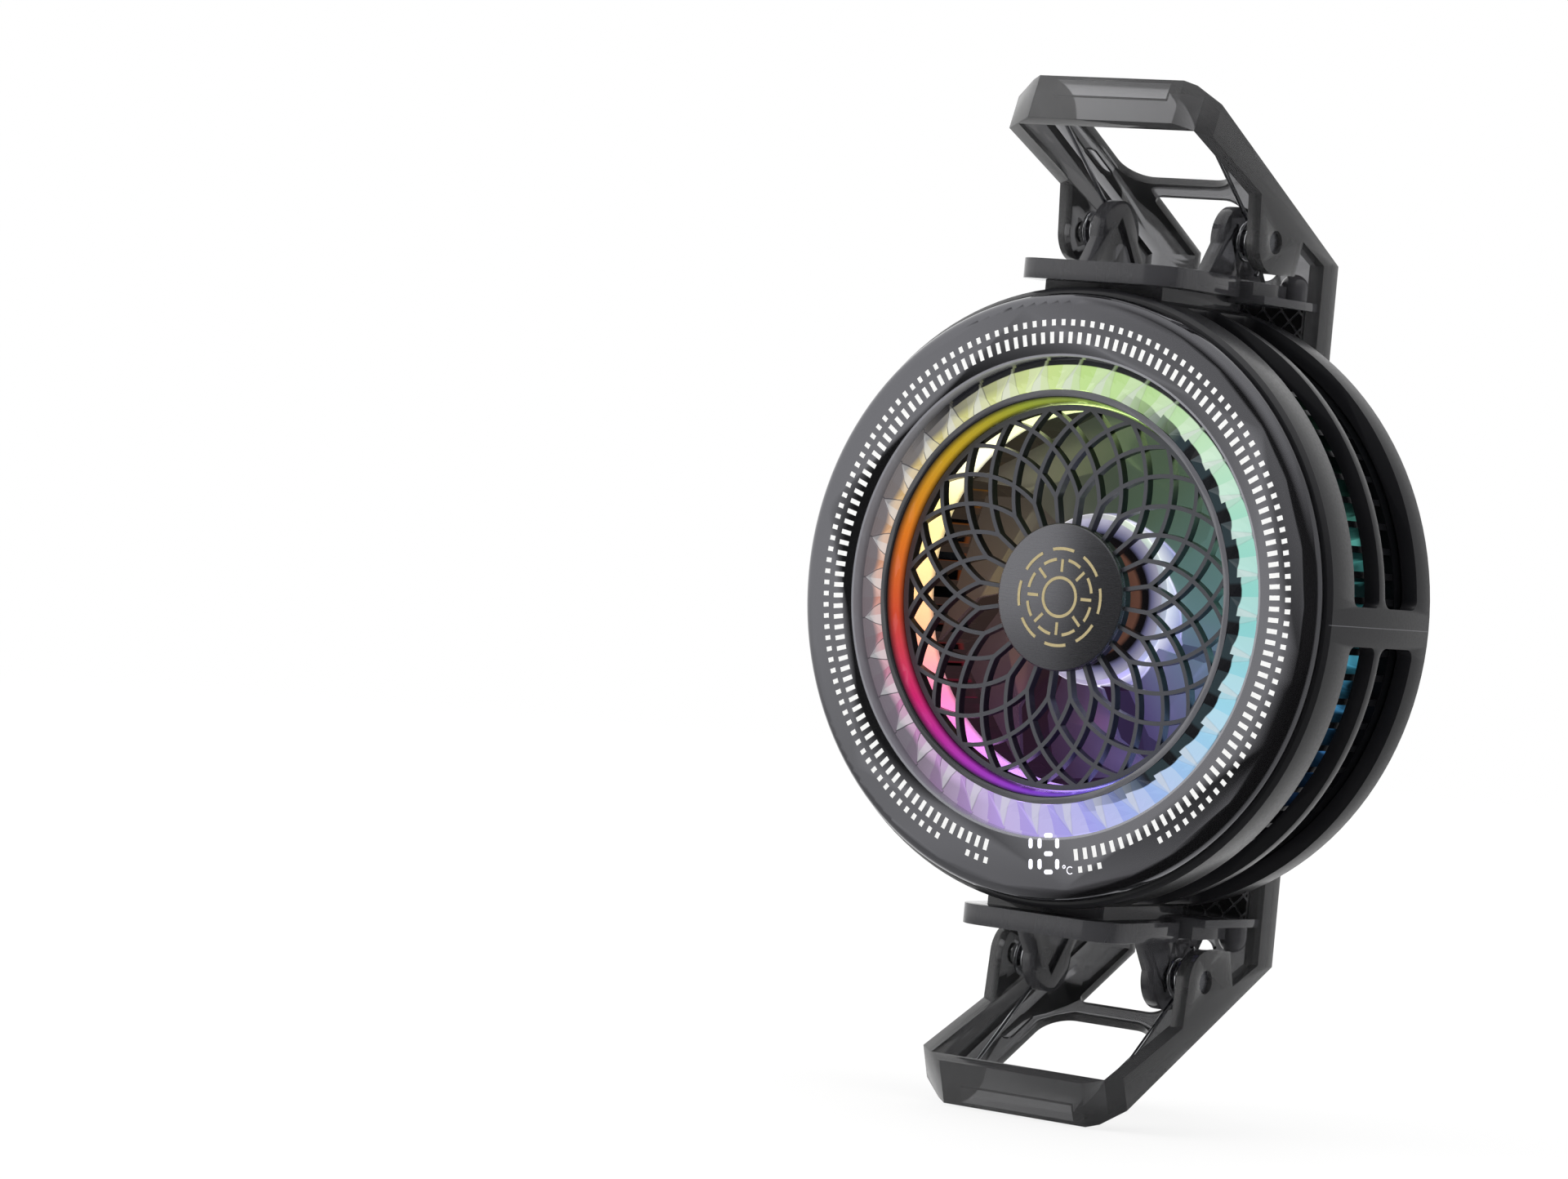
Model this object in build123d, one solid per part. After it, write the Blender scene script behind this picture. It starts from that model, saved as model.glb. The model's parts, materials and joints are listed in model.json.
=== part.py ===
"""Phone cooling fan with two spring clamps, as separate solids, in millimetres.

The origin is the centre of the cold plate's outer face, which lies on the phone's back.
+Y points into the phone, +Z up towards the upper clamp, and the lit front faces -Y.
Depths are measured back from the plane of the bezel's flat front.
"""

import math
import os

from build123d import *

# overall sizes, in millimetres and degrees
overall_depth = 27.0
shell_radius = 36.8
shell_wall = 2.0
shell_bore = shell_radius - shell_wall
slip = 0.1
overrun = 1.0
full_turn = 360.0
half_turn = full_turn / 2
quarter_turn = full_turn / 4
diameter = 2.0

# front bezel: a gloss ring with a rolled shoulder
bezel_inset = 0.8
bezel_round = 1.5
bezel_edge_depth = 2.0
bezel_face_width = 7.6
bezel_plate_wall = 2.0
bezel_skirt_wall = 1.2
bezel_skirt_gap = 0.2
bezel_radius = shell_radius - bezel_inset
bezel_window_radius = bezel_radius - bezel_face_width

# prism ring: clear triangular facets that rise inwards from the bezel to the glow ring
prism_count = 36
prism_window_gap = 0.2
prism_width = 3.6
prism_front_inset = 0.15
prism_relief = 0.55
prism_base_wall = 1.6
prism_flange_reach = 2.6
prism_flange_wall = 1.2
prism_outer_radius = bezel_window_radius - prism_window_gap
prism_inner_radius = prism_outer_radius - prism_width
prism_rear_depth = bezel_plate_wall + prism_base_wall
prism_flange_radius = bezel_window_radius + prism_flange_reach

# glow ring: smooth translucent collar round the grille, leaning in towards it
glow_lip_wall = 0.8
glow_foot_wall = 1.55
glow_front_inset = 0.1
glow_outer_radius = prism_inner_radius - slip

# lotus grille
grille_ring_wall = 0.65
grille_front_depth = 2.7
grille_wall = 1.2
grille_radius = glow_outer_radius - glow_foot_wall - slip
rib_width = 0.5
rib_count = 24
rib_turn = 11.25
rib_sweep = 30.0
rib_fork_share = 0.534
rib_middle_share = 0.7856
hub_cap_radius = 8.8
hub_cap_wall = 0.75
hub_cap_chamfer = 0.15

# light guide: diffuser under the prisms and lit inner wall down to the fan
guide_step = 0.45
guide_wall = 1.0
guide_length = 4.8
guide_flange_wall = 0.8
guide_flange_reach = 1.6
guide_bore_radius = grille_radius - guide_step
guide_radius = guide_bore_radius + guide_wall
guide_flange_radius = prism_flange_radius + guide_flange_reach
guide_rear_depth = prism_rear_depth + guide_length

# lamp board and its lamps
lamp_count = 24
lamp_size = 2.0
lamp_height = 0.8
lamp_gap = 0.8
lamp_inset = 0.6
board_wall = 1.0
board_inset = 1.7
board_radius = shell_bore - board_inset
board_front_depth = prism_rear_depth + guide_flange_wall + lamp_gap + lamp_height
lamp_circle_radius = prism_outer_radius - lamp_inset

# readout behind the bezel's dark face
readout_angle = -84.5
readout_margin = 0.45
readout_width = 7.4
readout_height = 3.9
readout_wall = 1.3
readout_radius = bezel_window_radius + readout_margin + readout_height / 2

# inner frame that carries the board above the fins
frame_wall = 1.2
frame_rear_depth = board_front_depth + board_wall + frame_wall

# charging inlet in the left side of the shell
inlet_width = 8.94
inlet_height = 3.2
inlet_length = 7.3
inlet_wall = 0.3
inlet_board_offset = 0.6
inlet_tongue_width = 6.7
inlet_tongue_height = 0.7
inlet_tongue_length = 5.6
inlet_recess = 0.4
inlet_depth = board_front_depth + inlet_board_offset
inlet_mouth_x = inlet_recess - shell_radius
bezel_skirt_depth = inlet_depth - inlet_height / 2 - bezel_skirt_gap

# heat pump between the sink and the cold plate
pump_margin = 0.787
pump_ceramic_wall = 0.7
pump_height = 2.6
pellet_size = 1.4
pellet_count = 9
sink_base_wall = 1.8
cold_plate_wall = 1.8
cold_plate_chamfer = 0.4
cold_plate_gap = 0.4
cold_plate_stand = 1.2
gasket_inset = 0.2
cover_ring_width = 12.4
cover_bore_radius = shell_bore - cover_ring_width
cold_plate_radius = cover_bore_radius - cold_plate_gap
gasket_radius = cold_plate_radius - gasket_inset
pump_half = (cold_plate_radius - pump_margin) / math.sqrt(2)
pump_rear_depth = overall_depth - cold_plate_wall
pump_front_depth = pump_rear_depth - pump_height
sink_base_depth = pump_front_depth - sink_base_wall

# side shell with two rows of air slots
shell_groove = 0.2
shell_lip = 0.5
slot_start_depth = 7.5
slot_rear_margin = 3.65
slot_rib_width = 1.3
slot_bridge_angle = 3.6
slot_ear_gap = 0.75
front_slot_share = 0.4345
slot_corner_share = 0.17
shell_front_depth = bezel_edge_depth + shell_groove
shell_rear_depth = overall_depth - cold_plate_stand
slot_end_depth = shell_rear_depth - slot_rear_margin
slot_room = slot_end_depth - slot_start_depth - slot_rib_width
slot_rib_depth = slot_start_depth + slot_room * front_slot_share
slot_rows = [(slot_start_depth, slot_rib_depth), (slot_rib_depth + slot_rib_width, slot_end_depth)]

# fan
fan_tip_gap = 1.2
fan_guide_gap = 0.8
fan_blade_count = 7
fan_hub_radius = 10.3
fan_hub_wall = 1.0
fan_hub_share = 0.5345
fan_dish_margin = 2.5
fan_dish = 0.25
fan_hub_round = 0.6
blade_inset = 0.7
blade_tail = 0.1
blade_wall = 0.7
blade_root_angle = 50.0
blade_tip_angle = 49.0
blade_lead_angle = 20.0
fan_radius = guide_bore_radius - fan_tip_gap
fan_front_depth = guide_rear_depth + fan_guide_gap
fan_hub_rear_depth = fan_front_depth + (sink_base_depth - fan_front_depth) * fan_hub_share
fan_ceiling_depth = fan_front_depth + fan_dish + fan_hub_wall
blade_front_depth = fan_front_depth + blade_inset
blade_rear_depth = fan_hub_rear_depth - blade_tail

# heat sink
sink_gap = 0.3
fin_wall = 0.8
fin_guide_gap = 1.0
fin_frame_gap = 0.2
fin_floor_gap = 1.8
fin_hub_gap = 0.5
outer_fin_count = 72
inner_fin_count = 24
sink_radius = shell_bore - sink_gap
outer_fin_root = guide_radius + fin_guide_gap
outer_fin_front_depth = frame_rear_depth + fin_frame_gap
inner_fin_root = fan_hub_radius + fin_hub_gap
inner_fin_front_depth = blade_rear_depth + fin_floor_gap

# motor inside the hub
magnet_wall = 1.0
motor_air_gap = 0.4
motor_head_gap = 0.2
stator_yoke_wall = 1.5
stator_pole_count = 6
stator_pole_width = 1.3
stator_shoe_wall = 0.8
stator_shoe_angle = 44.0
coil_wall = 0.75
coil_gap = 0.3
coil_board_gap = 0.15
shaft_radius = 0.75
shaft_foot = 0.3
bearing_wall = 1.0
bearing_slip = 0.03
bearing_gap = 0.45
housing_wall = 0.95
motor_post_radius = 5.0
motor_plate_radius = 9.0
motor_plate_gap = 0.7
motor_plate_wall = 0.9
motor_board_wall = 0.6
magnet_radius = fan_hub_radius - fan_hub_wall
stator_radius = magnet_radius - magnet_wall - motor_air_gap
bearing_radius = shaft_radius + bearing_wall
housing_radius = bearing_radius + housing_wall
stator_yoke_radius = housing_radius + stator_yoke_wall
motor_plate_depth = fan_hub_rear_depth + motor_plate_gap
stator_rear_depth = motor_plate_depth - motor_board_wall - coil_board_gap - coil_wall
stator_front_depth = fan_ceiling_depth + motor_head_gap + coil_wall
bearing_front_depth = fan_ceiling_depth + bearing_gap
shaft_rear_depth = motor_plate_depth + shaft_foot

# screws
screw_radius = 0.8
screw_head_radius = 1.6
screw_head_height = 0.9
screw_slot_width = 0.4
screw_slot_depth = 0.35
screw_length = 4.0

# rear cover
cover_wall = 1.4
cover_boss_wall = 1.4
cover_boss_inset = 5.3
cover_screw_count = 4
cover_boss_radius = screw_radius + cover_boss_wall
cover_boss_circle_radius = shell_bore - cover_boss_inset

# clamp pivot, shared by the base, the lever, the pins and the springs
plate_rise = 0.7
plate_wall = 2.4
pivot_rise = 4.45
pivot_setback = 7.24
pin_radius = 1.35
pin_slip = 0.06
pin_recess = 0.5
pivot_depth = overall_depth - pivot_setback
plate_low = shell_radius + plate_rise
plate_high = plate_low + plate_wall
pivot_height = plate_high + pivot_rise

# lever: a tray whose long edges are bevelled, bent at the rear corner into the jaw leg
lever_half_width = 14.3
lever_wall = 2.0
web_wall = 1.0
grip_low_reach = 18.98
grip_low_rise = 12.07
grip_high_reach = 17.11
grip_high_rise = 17.29
grip_corner_width = 4.2
grip_corner_depth = 3.0
grip_bar_wall = 1.2
rim_reach = 14.92
rim_rise = 14.81
rim_slope = 0.545
rim_low_slope = 0.452
bevel_width = 2.8
leg_reach = 16.14
leg_width = 4.4
leg_bevel = 1.0
leg_drop = 21.75
leg_floor = 1.5
leg_wall = 1.3
cheek_wall = 1.8
cheek_radius = 3.8
cheek_front_reach = 4.26
cheek_heel_reach = 4.97
cheek_heel_drop = 3.65
cheek_back_reach = 6.71
cheek_back_rise = 1.85
finger_arm_width = 6.4
finger_rear_reach = 1.44
finger_corner = 3.6
cross_bar_width = 2.9
second_arm_width = 8.3
second_corner = 1.6
second_drop = 3.02
arm_slot_width = 1.6
arm_slot_margin = 3.1
arm_slot_front_reach = 4.56
arm_slot_rear_reach = 0.44
arm_slot_recess = 0.6
grip_low_point = (pivot_depth - grip_low_reach, pivot_height + grip_low_rise)
grip_high_point = (pivot_depth - grip_high_reach, pivot_height + grip_high_rise)
rim_high_point = (pivot_depth - rim_reach, pivot_height + rim_rise)
leg_rear_depth = pivot_depth + leg_reach
leg_rim_depth = leg_rear_depth - leg_width
leg_low = pivot_height - leg_drop
cheek_inner_x = lever_half_width - cheek_wall
finger_half_width = lever_half_width - finger_arm_width
second_half_width = lever_half_width - second_arm_width

# jaw pad
pad_side_gap = 0.4
pad_end_gap = 0.5
pad_wall = 3.2
pad_length = 14.4
pad_groove_pitch = 1.8
pad_groove_width = 0.35
pad_groove_depth = 0.3
pad_half_width = lever_half_width - lever_wall - pad_side_gap
pad_low = leg_low + leg_floor + pad_end_gap
pad_high = pad_low + pad_length
pad_rear_depth = leg_rear_depth - leg_wall
pad_front_depth = pad_rear_depth - pad_wall

# torsion springs, in the room between an ear and a cheek
wire_diameter = 0.56
coil_radius = 2.3
coil_quarter_turns = 9
coil_side_gap = 0.09
spring_room = 3.1
spring_leg_gap = 0.28
spring_leg_reach = 11.26
coil_travel = spring_room - wire_diameter - diameter * coil_side_gap
coil_pitch = coil_travel * 4 / coil_quarter_turns

# clamp base
ear_wall = 1.8
ear_radius = 4.0
ear_front_reach = 6.56
ear_rear_reach = 6.64
ear_pocket_depth = 0.6
ear_pocket_half_width = 4.2
ear_pocket_foot = 0.6
ear_pocket_rise = 2.0
ear_pin_bite = 0.9
plate_side_margin = 1.8
plate_front_depth = 2.0
plate_notch_reach = 2.16
plate_notch = 1.3
plate_corner = 3.9
base_screw_reach = 4.5
base_screw_setback = 3.1
rear_plate_gap = 0.2
rear_plate_reach = 6.84
rear_plate_step = 0.4
flange_side_margin = 0.3
flange_drop = 0.6
flange_wall = 1.0
flange_stop_gap = 0.2
dome_radius = 1.7
dome_side_margin = 0.3
dome_inset = 2.4
dome_drop = 3.15
saddle_ear_margin = 0.65
saddle_front_reach = 3.2
saddle_rear_reach = 3.2
saddle_bite = 1.7
pedestal_inset = 0.85
ear_outer_x = cheek_inner_x - spring_room
ear_inner_x = ear_outer_x - ear_wall
coil_start_x = ear_outer_x + coil_side_gap + wire_diameter / 2
plate_half_width = ear_outer_x + plate_side_margin
plate_notch_depth = pivot_depth - plate_notch_reach
rear_plate_half_width = cheek_inner_x - rear_plate_gap
rear_plate_depth = pivot_depth + rear_plate_reach
rear_plate_high = plate_high - rear_plate_step
flange_half_width = lever_half_width - flange_side_margin
flange_low = plate_low - flange_drop
flange_high = flange_low + flange_wall
flange_rear_depth = leg_rim_depth - flange_stop_gap
dome_x = lever_half_width - lever_wall - dome_side_margin
dome_depth = flange_rear_depth - dome_inset
dome_height = pivot_height - dome_drop
saddle_half_width = ear_inner_x + saddle_ear_margin
saddle_front_depth = plate_front_depth + saddle_front_reach
saddle_rear_depth = pivot_depth + saddle_rear_reach
saddle_low = shell_radius - saddle_bite
pedestal_half_width = saddle_half_width - pedestal_inset
pedestal_front_depth = saddle_front_depth + pedestal_inset
pedestal_rear_depth = saddle_rear_depth - pedestal_inset
base_screw_depths = (plate_front_depth + base_screw_reach, plate_notch_depth - base_screw_setback)
slot_span_angle = (quarter_turn - slot_bridge_angle
                   - math.degrees(math.asin((ear_outer_x + slot_ear_gap) / shell_radius)))


def y_at(depth):
    """Row Y of a depth behind the bezel's flat front."""
    return depth - overall_depth


def turned(points):
    """Ring or disc turned about the fan's axis from (radius, depth) points."""
    outline = Polyline(*[(radius, y_at(depth)) for radius, depth in points], close=True)
    return revolve(make_face(outline), axis=Axis.Y)


def disc(radius, front_depth, rear_depth, bore=0.0):
    """Plain disc or tube about the fan's axis."""
    return turned([(bore, front_depth), (radius, front_depth), (radius, rear_depth), (bore, rear_depth)])


def front_plane(depth):
    """Plane seen from the front, with X to the right and Z up."""
    return Plane(origin=(0, y_at(depth), 0), x_dir=(1, 0, 0), z_dir=(0, -1, 0))


def front_slab(sketch, front_depth, rear_depth):
    """Front-view outline given its depth."""
    return extrude(front_plane(front_depth) * sketch, amount=rear_depth - front_depth, dir=(0, 1, 0))


def side_slab(points, low_x, high_x):
    """Side-view outline of (depth, z) points, between two X values."""
    outline = Polyline(*[(y_at(depth), z) for depth, z in points], close=True)
    face = Plane.YZ.offset(low_x) * make_face(outline)
    return extrude(face, amount=high_x - low_x, dir=(1, 0, 0))


def block(low_x, high_x, front_depth, rear_depth, low_z, high_z):
    """Square block between two corners."""
    centre = ((low_x + high_x) / 2, (y_at(front_depth) + y_at(rear_depth)) / 2, (low_z + high_z) / 2)
    return Pos(*centre) * Box(high_x - low_x, rear_depth - front_depth, high_z - low_z)


def polar(radius, angle):
    """Front-view point (x, z) of a radius and an angle from +X."""
    return (radius * math.cos(math.radians(angle)), radius * math.sin(math.radians(angle)))


def round_rod(radius, depth, z, low_x, high_x):
    """Rod along X."""
    centre = Plane(origin=(low_x, y_at(depth), z), x_dir=(0, 1, 0), z_dir=(1, 0, 0))
    return extrude(centre * Circle(radius), amount=high_x - low_x, dir=(1, 0, 0))


def around_axis(shape, count, first_angle=0.0):
    """Copies of a shape spaced evenly about the fan's axis."""
    return [shape.rotate(Axis.Y, -first_angle - full_turn * i / count) for i in range(count)]


def fuse_all(shapes):
    """One solid from touching shapes."""
    return shapes[0].fuse(*shapes[1:]) if len(shapes) > 1 else shapes[0]


def both_sides(shape):
    """A shape and its mirror image across the X = 0 plane."""
    return [shape, shape.mirror(Plane.YZ)]


def make_bezel():
    skirt_outer = shell_bore - slip
    skirt_inner = skirt_outer - bezel_skirt_wall
    ring = turned([
        (bezel_window_radius, 0), (bezel_radius, 0), (bezel_radius, bezel_edge_depth),
        (skirt_outer, bezel_edge_depth), (skirt_outer, bezel_skirt_depth), (skirt_inner, bezel_skirt_depth),
        (skirt_inner, bezel_plate_wall), (bezel_window_radius, bezel_plate_wall)])
    rim = [edge for edge in ring.edges().group_by(Axis.Y)[0] if edge.radius > bezel_radius - slip]
    return fillet(rim, radius=bezel_round)


def slot_cutter(depths, first_angle):
    """Curved slot with rounded corners, cut through the shell over one quarter of its side."""
    inner = shell_bore - overrun
    outline = Polyline((inner, y_at(depths[0])), (shell_radius + overrun, y_at(depths[0])),
                       (shell_radius + overrun, y_at(depths[1])), (inner, y_at(depths[1])), close=True)
    sector = revolve(make_face(outline), axis=Axis.Y, revolution_arc=slot_span_angle)
    corners = [edge for edge in sector.edges()
               if edge.geom_type == GeomType.LINE and edge.length > shell_wall
               and abs(edge.center().Y - y_at(sum(depths) / 2)) > (depths[1] - depths[0]) / 4]
    sector = fillet(corners, radius=(depths[1] - depths[0]) * slot_corner_share)
    return sector.rotate(Axis.Y, -first_angle - slot_span_angle)


def inlet_outline(grow):
    """Front outline of the charging inlet as its mouth is seen, grown by a clearance."""
    return SlotOverall(inlet_width + diameter * grow, inlet_height + diameter * grow)


def inlet_body(grow, near_x, far_x):
    """Inlet's outer form along X at its place in the shell's left side."""
    plane = Plane(origin=(near_x, y_at(inlet_depth), 0), x_dir=(0, 0, 1), z_dir=(-1, 0, 0))
    return extrude(plane * inlet_outline(grow), amount=abs(far_x - near_x), dir=(-1, 0, 0))


def make_shell():
    inner = shell_bore
    ring = turned([(inner, shell_front_depth), (shell_radius - shell_lip, shell_front_depth),
                   (shell_radius, shell_front_depth + shell_lip),
                   (shell_radius, shell_rear_depth - shell_lip), (shell_radius - shell_lip, shell_rear_depth),
                   (inner, shell_rear_depth)])
    for side in (1, -1):
        low_z, high_z = sorted((side * (inner + slip), side * plate_low))
        pedestal = block(-pedestal_half_width, pedestal_half_width, pedestal_front_depth, pedestal_rear_depth,
                         low_z, high_z)
        ring = ring.fuse(pedestal - disc(inner, pedestal_front_depth - overrun, pedestal_rear_depth + overrun))
    for depths in slot_rows:
        for quarter in range(4):
            turn = quarter // 2 * half_turn
            start = slot_bridge_angle if quarter % 2 == 0 else -slot_bridge_angle - slot_span_angle
            ring = ring - slot_cutter(depths, turn + start)
    ring = ring - inlet_body(slip, -inner + overrun, -shell_radius - overrun)
    for side in (1, -1):
        for depth in base_screw_depths:
            ring = ring - upright_rod(screw_radius, depth, side * (inner - overrun), side * (plate_low + overrun))
    return ring


def upright_rod(radius, depth, low_z, high_z):
    """Rod along Z on the middle plane."""
    rod = Plane.XY.offset(min(low_z, high_z)) * Pos(0, y_at(depth)) * Circle(radius)
    return extrude(rod, amount=abs(high_z - low_z), dir=(0, 0, 1))


def prism_facets():
    """Top facets of the prism ring: an outer and an inner rim joined by folded triangles."""
    pitch = full_turn / prism_count
    outer_y = y_at(bezel_plate_wall)
    inner_y = y_at(prism_front_inset)
    rear_y = y_at(prism_rear_depth)

    def at(radius, steps, y):
        x, z = polar(radius, steps * pitch)
        return (x, y, z)

    middle_radius = (prism_outer_radius + prism_inner_radius) / 2
    middle_y = (outer_y + inner_y) / 2
    triangles = []
    for i in range(prism_count):
        tip = at(prism_outer_radius, i, outer_y)
        next_tip = at(prism_outer_radius, i + 1, outer_y)
        before = at(prism_inner_radius, i - 1 / 2, inner_y)
        after = at(prism_inner_radius, i + 1 / 2, inner_y)
        ridge = at(middle_radius, i, middle_y - prism_relief)
        dip = at(middle_radius, i + 1 / 2, middle_y + prism_relief / 2)
        triangles += [(tip, before, ridge), (before, after, ridge), (after, tip, ridge)]
        triangles += [(tip, after, dip), (after, next_tip, dip), (next_tip, tip, dip)]
    walls = []
    for i in range(prism_count):
        outer = [at(prism_outer_radius, i, outer_y), at(prism_outer_radius, i + 1, outer_y),
                 at(prism_outer_radius, i + 1, rear_y), at(prism_outer_radius, i, rear_y)]
        inner = [at(prism_inner_radius, i - 1 / 2, inner_y), at(prism_inner_radius, i + 1 / 2, inner_y),
                 at(prism_inner_radius, i + 1 / 2, rear_y), at(prism_inner_radius, i - 1 / 2, rear_y)]
        walls += [outer, inner]
    outer_rim = [at(prism_outer_radius, i, rear_y) for i in range(prism_count)]
    inner_rim = [at(prism_inner_radius, i + 1 / 2, rear_y) for i in range(prism_count)]
    return triangles + walls, outer_rim, inner_rim


def make_prism_ring(readout):
    facets, outer_rim, inner_rim = prism_facets()
    faces = [Face(Wire.make_polygon([Vector(*p) for p in facet], close=True)) for facet in facets]
    outer_wire = Wire.make_polygon([Vector(*p) for p in outer_rim], close=True)
    inner_wire = Wire.make_polygon([Vector(*p) for p in inner_rim], close=True)
    faces.append(Face(outer_wire, [inner_wire]))
    ring = Solid(Shell(faces))
    flange = disc(prism_flange_radius, prism_rear_depth - prism_flange_wall, prism_rear_depth,
                  bore=prism_outer_radius - overrun)
    return ring.fuse(flange - readout)


def make_readout(grow=0.0):
    half_width = readout_width / 2 + grow
    half_height = readout_height / 2 + grow
    body = block(readout_radius - half_height, readout_radius + half_height,
                 bezel_plate_wall + slip - grow, bezel_plate_wall + slip + readout_wall + grow,
                 -half_width, half_width)
    return body.rotate(Axis.Y, -readout_angle)


def make_glow_ring():
    foot_radius = glow_outer_radius - glow_foot_wall
    return turned([(foot_radius, prism_rear_depth), (glow_outer_radius - glow_lip_wall, glow_front_inset),
                   (glow_outer_radius, glow_front_inset), (glow_outer_radius, prism_rear_depth)])


def make_grille():
    fork_radius = grille_radius * rib_fork_share
    end_radius = grille_radius - grille_ring_wall / 2
    outline = Polyline((hub_cap_radius - overrun, -rib_width / 2), (fork_radius, -rib_width / 2),
                       (fork_radius, rib_width / 2), (hub_cap_radius - overrun, rib_width / 2), close=True)
    fork = [make_face(outline)]
    for hand in (1, -1):
        arc = ThreePointArc(polar(fork_radius - rib_width / 2, 0),
                            polar(grille_radius * rib_middle_share, hand * rib_sweep / 2),
                            polar(end_radius, hand * rib_sweep))
        fork.append(trace(arc, line_width=rib_width))
    web = Circle(grille_radius) - Circle(grille_radius - grille_ring_wall) + Circle(hub_cap_radius - slip)
    for i in range(rib_count):
        web = web + [Rot(0, 0, rib_turn + full_turn * i / rib_count) * piece for piece in fork]
    return front_slab(web, grille_front_depth, grille_front_depth + grille_wall)


def make_hub_cap():
    cap = disc(hub_cap_radius, grille_front_depth - hub_cap_wall, grille_front_depth)
    return chamfer(cap.edges().group_by(Axis.Y)[0], length=hub_cap_chamfer)


def make_light_guide():
    grille_rear = grille_front_depth + grille_wall
    flange_rear = prism_rear_depth + guide_flange_wall
    seat_radius = grille_radius + slip
    return turned([(guide_bore_radius, grille_rear), (seat_radius, grille_rear), (seat_radius, prism_rear_depth),
                   (guide_flange_radius, prism_rear_depth), (guide_flange_radius, flange_rear),
                   (guide_radius, flange_rear), (guide_radius, guide_rear_depth),
                   (guide_bore_radius, guide_rear_depth)])


def make_board(inlet_cut):
    board = disc(board_radius, board_front_depth, board_front_depth + board_wall, bore=guide_radius + slip)
    return board - inlet_cut


def make_lamps():
    lamp = block(lamp_circle_radius - lamp_size / 2, lamp_circle_radius + lamp_size / 2,
                 board_front_depth - lamp_height, board_front_depth, -lamp_size / 2, lamp_size / 2)
    half_step = half_turn / lamp_count
    return Compound(around_axis(lamp, lamp_count, first_angle=half_step))


def make_inner_frame(inlet_cut):
    plate = disc(shell_bore - slip, frame_rear_depth - frame_wall, frame_rear_depth, bore=guide_radius + slip)
    return plate - inlet_cut


def make_inlet():
    far_x = inlet_mouth_x + inlet_length
    outer = inlet_body(0, far_x, inlet_mouth_x)
    hollow = inlet_body(-inlet_wall, far_x - inlet_wall, inlet_mouth_x - overrun)
    tongue = block(far_x - inlet_wall - inlet_tongue_length, far_x - inlet_wall,
                   inlet_depth - inlet_tongue_height / 2, inlet_depth + inlet_tongue_height / 2,
                   -inlet_tongue_width / 2, inlet_tongue_width / 2)
    return (outer - hollow).fuse(tongue)


def make_heat_sink(cover_screw_holes):
    base = disc(sink_radius, sink_base_depth, pump_front_depth)
    outer_fin = block(outer_fin_root, sink_radius - slip, outer_fin_front_depth, sink_base_depth,
                      -fin_wall / 2, fin_wall / 2)
    inner_fin = block(inner_fin_root, outer_fin_root - fin_wall, inner_fin_front_depth, sink_base_depth,
                      -fin_wall / 2, fin_wall / 2)
    fins = around_axis(outer_fin, outer_fin_count) + around_axis(inner_fin, inner_fin_count)
    return fuse_all([base] + fins) - cover_screw_holes


def blade_section(radius, chord_angle, lead):
    """Thin slanted quadrilateral square to a radius, with its leading edge to the front."""
    half_chord = radius * math.radians(chord_angle) / 2
    front_y = y_at(blade_front_depth)
    rear_y = y_at(blade_rear_depth)
    corners = [(-half_chord, rear_y - blade_wall), (-half_chord, rear_y),
               (half_chord, front_y + blade_wall), (half_chord, front_y)]
    x, z = polar(radius, lead)
    along = (-math.sin(math.radians(lead)), math.cos(math.radians(lead)))
    points = [Vector(x + along[0] * u, y, z + along[1] * u) for u, y in corners]
    return Face(Wire.make_polygon(points, close=True))


def make_rotor():
    dish_radius = fan_hub_radius - fan_dish_margin
    hub = turned([(0, fan_front_depth + fan_dish), (dish_radius, fan_front_depth + fan_dish),
                  (dish_radius, fan_front_depth), (fan_hub_radius - fan_hub_round, fan_front_depth),
                  (fan_hub_radius, fan_front_depth + fan_hub_round), (fan_hub_radius, fan_hub_rear_depth),
                  (magnet_radius, fan_hub_rear_depth), (magnet_radius, fan_ceiling_depth), (0, fan_ceiling_depth)])
    root_radius = fan_hub_radius - fan_hub_wall / 2
    sections = [blade_section(root_radius, blade_root_angle, 0),
                blade_section((root_radius + fan_radius) / 2, (blade_root_angle + blade_tip_angle) / 2,
                              blade_lead_angle / 3),
                blade_section(fan_radius, blade_tip_angle, blade_lead_angle)]
    blade = loft(sections, ruled=True) - disc(root_radius, fan_front_depth, blade_rear_depth + overrun)
    rotor = fuse_all([hub] + around_axis(blade, fan_blade_count))
    return rotor - disc(shaft_radius, fan_ceiling_depth - fan_hub_wall / 2, fan_hub_rear_depth)


def make_shaft():
    return disc(shaft_radius, fan_ceiling_depth - fan_hub_wall / 2, shaft_rear_depth)


def make_magnet():
    return disc(magnet_radius, fan_ceiling_depth, fan_hub_rear_depth, bore=magnet_radius - magnet_wall)


def make_stator():
    yoke = disc(stator_yoke_radius, stator_front_depth, stator_rear_depth, bore=housing_radius)
    pole = block(stator_yoke_radius - slip, stator_radius - stator_shoe_wall / 2, stator_front_depth,
                 stator_rear_depth, -stator_pole_width / 2, stator_pole_width / 2)
    outline = Polyline((stator_radius - stator_shoe_wall, y_at(stator_front_depth)),
                       (stator_radius, y_at(stator_front_depth)), (stator_radius, y_at(stator_rear_depth)),
                       (stator_radius - stator_shoe_wall, y_at(stator_rear_depth)), close=True)
    shoe = revolve(make_face(outline), axis=Axis.Y, revolution_arc=stator_shoe_angle)
    shoe = shoe.rotate(Axis.Y, -stator_shoe_angle / 2)
    poles = around_axis(pole, stator_pole_count) + around_axis(shoe, stator_pole_count)
    return fuse_all([yoke] + poles)


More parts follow.
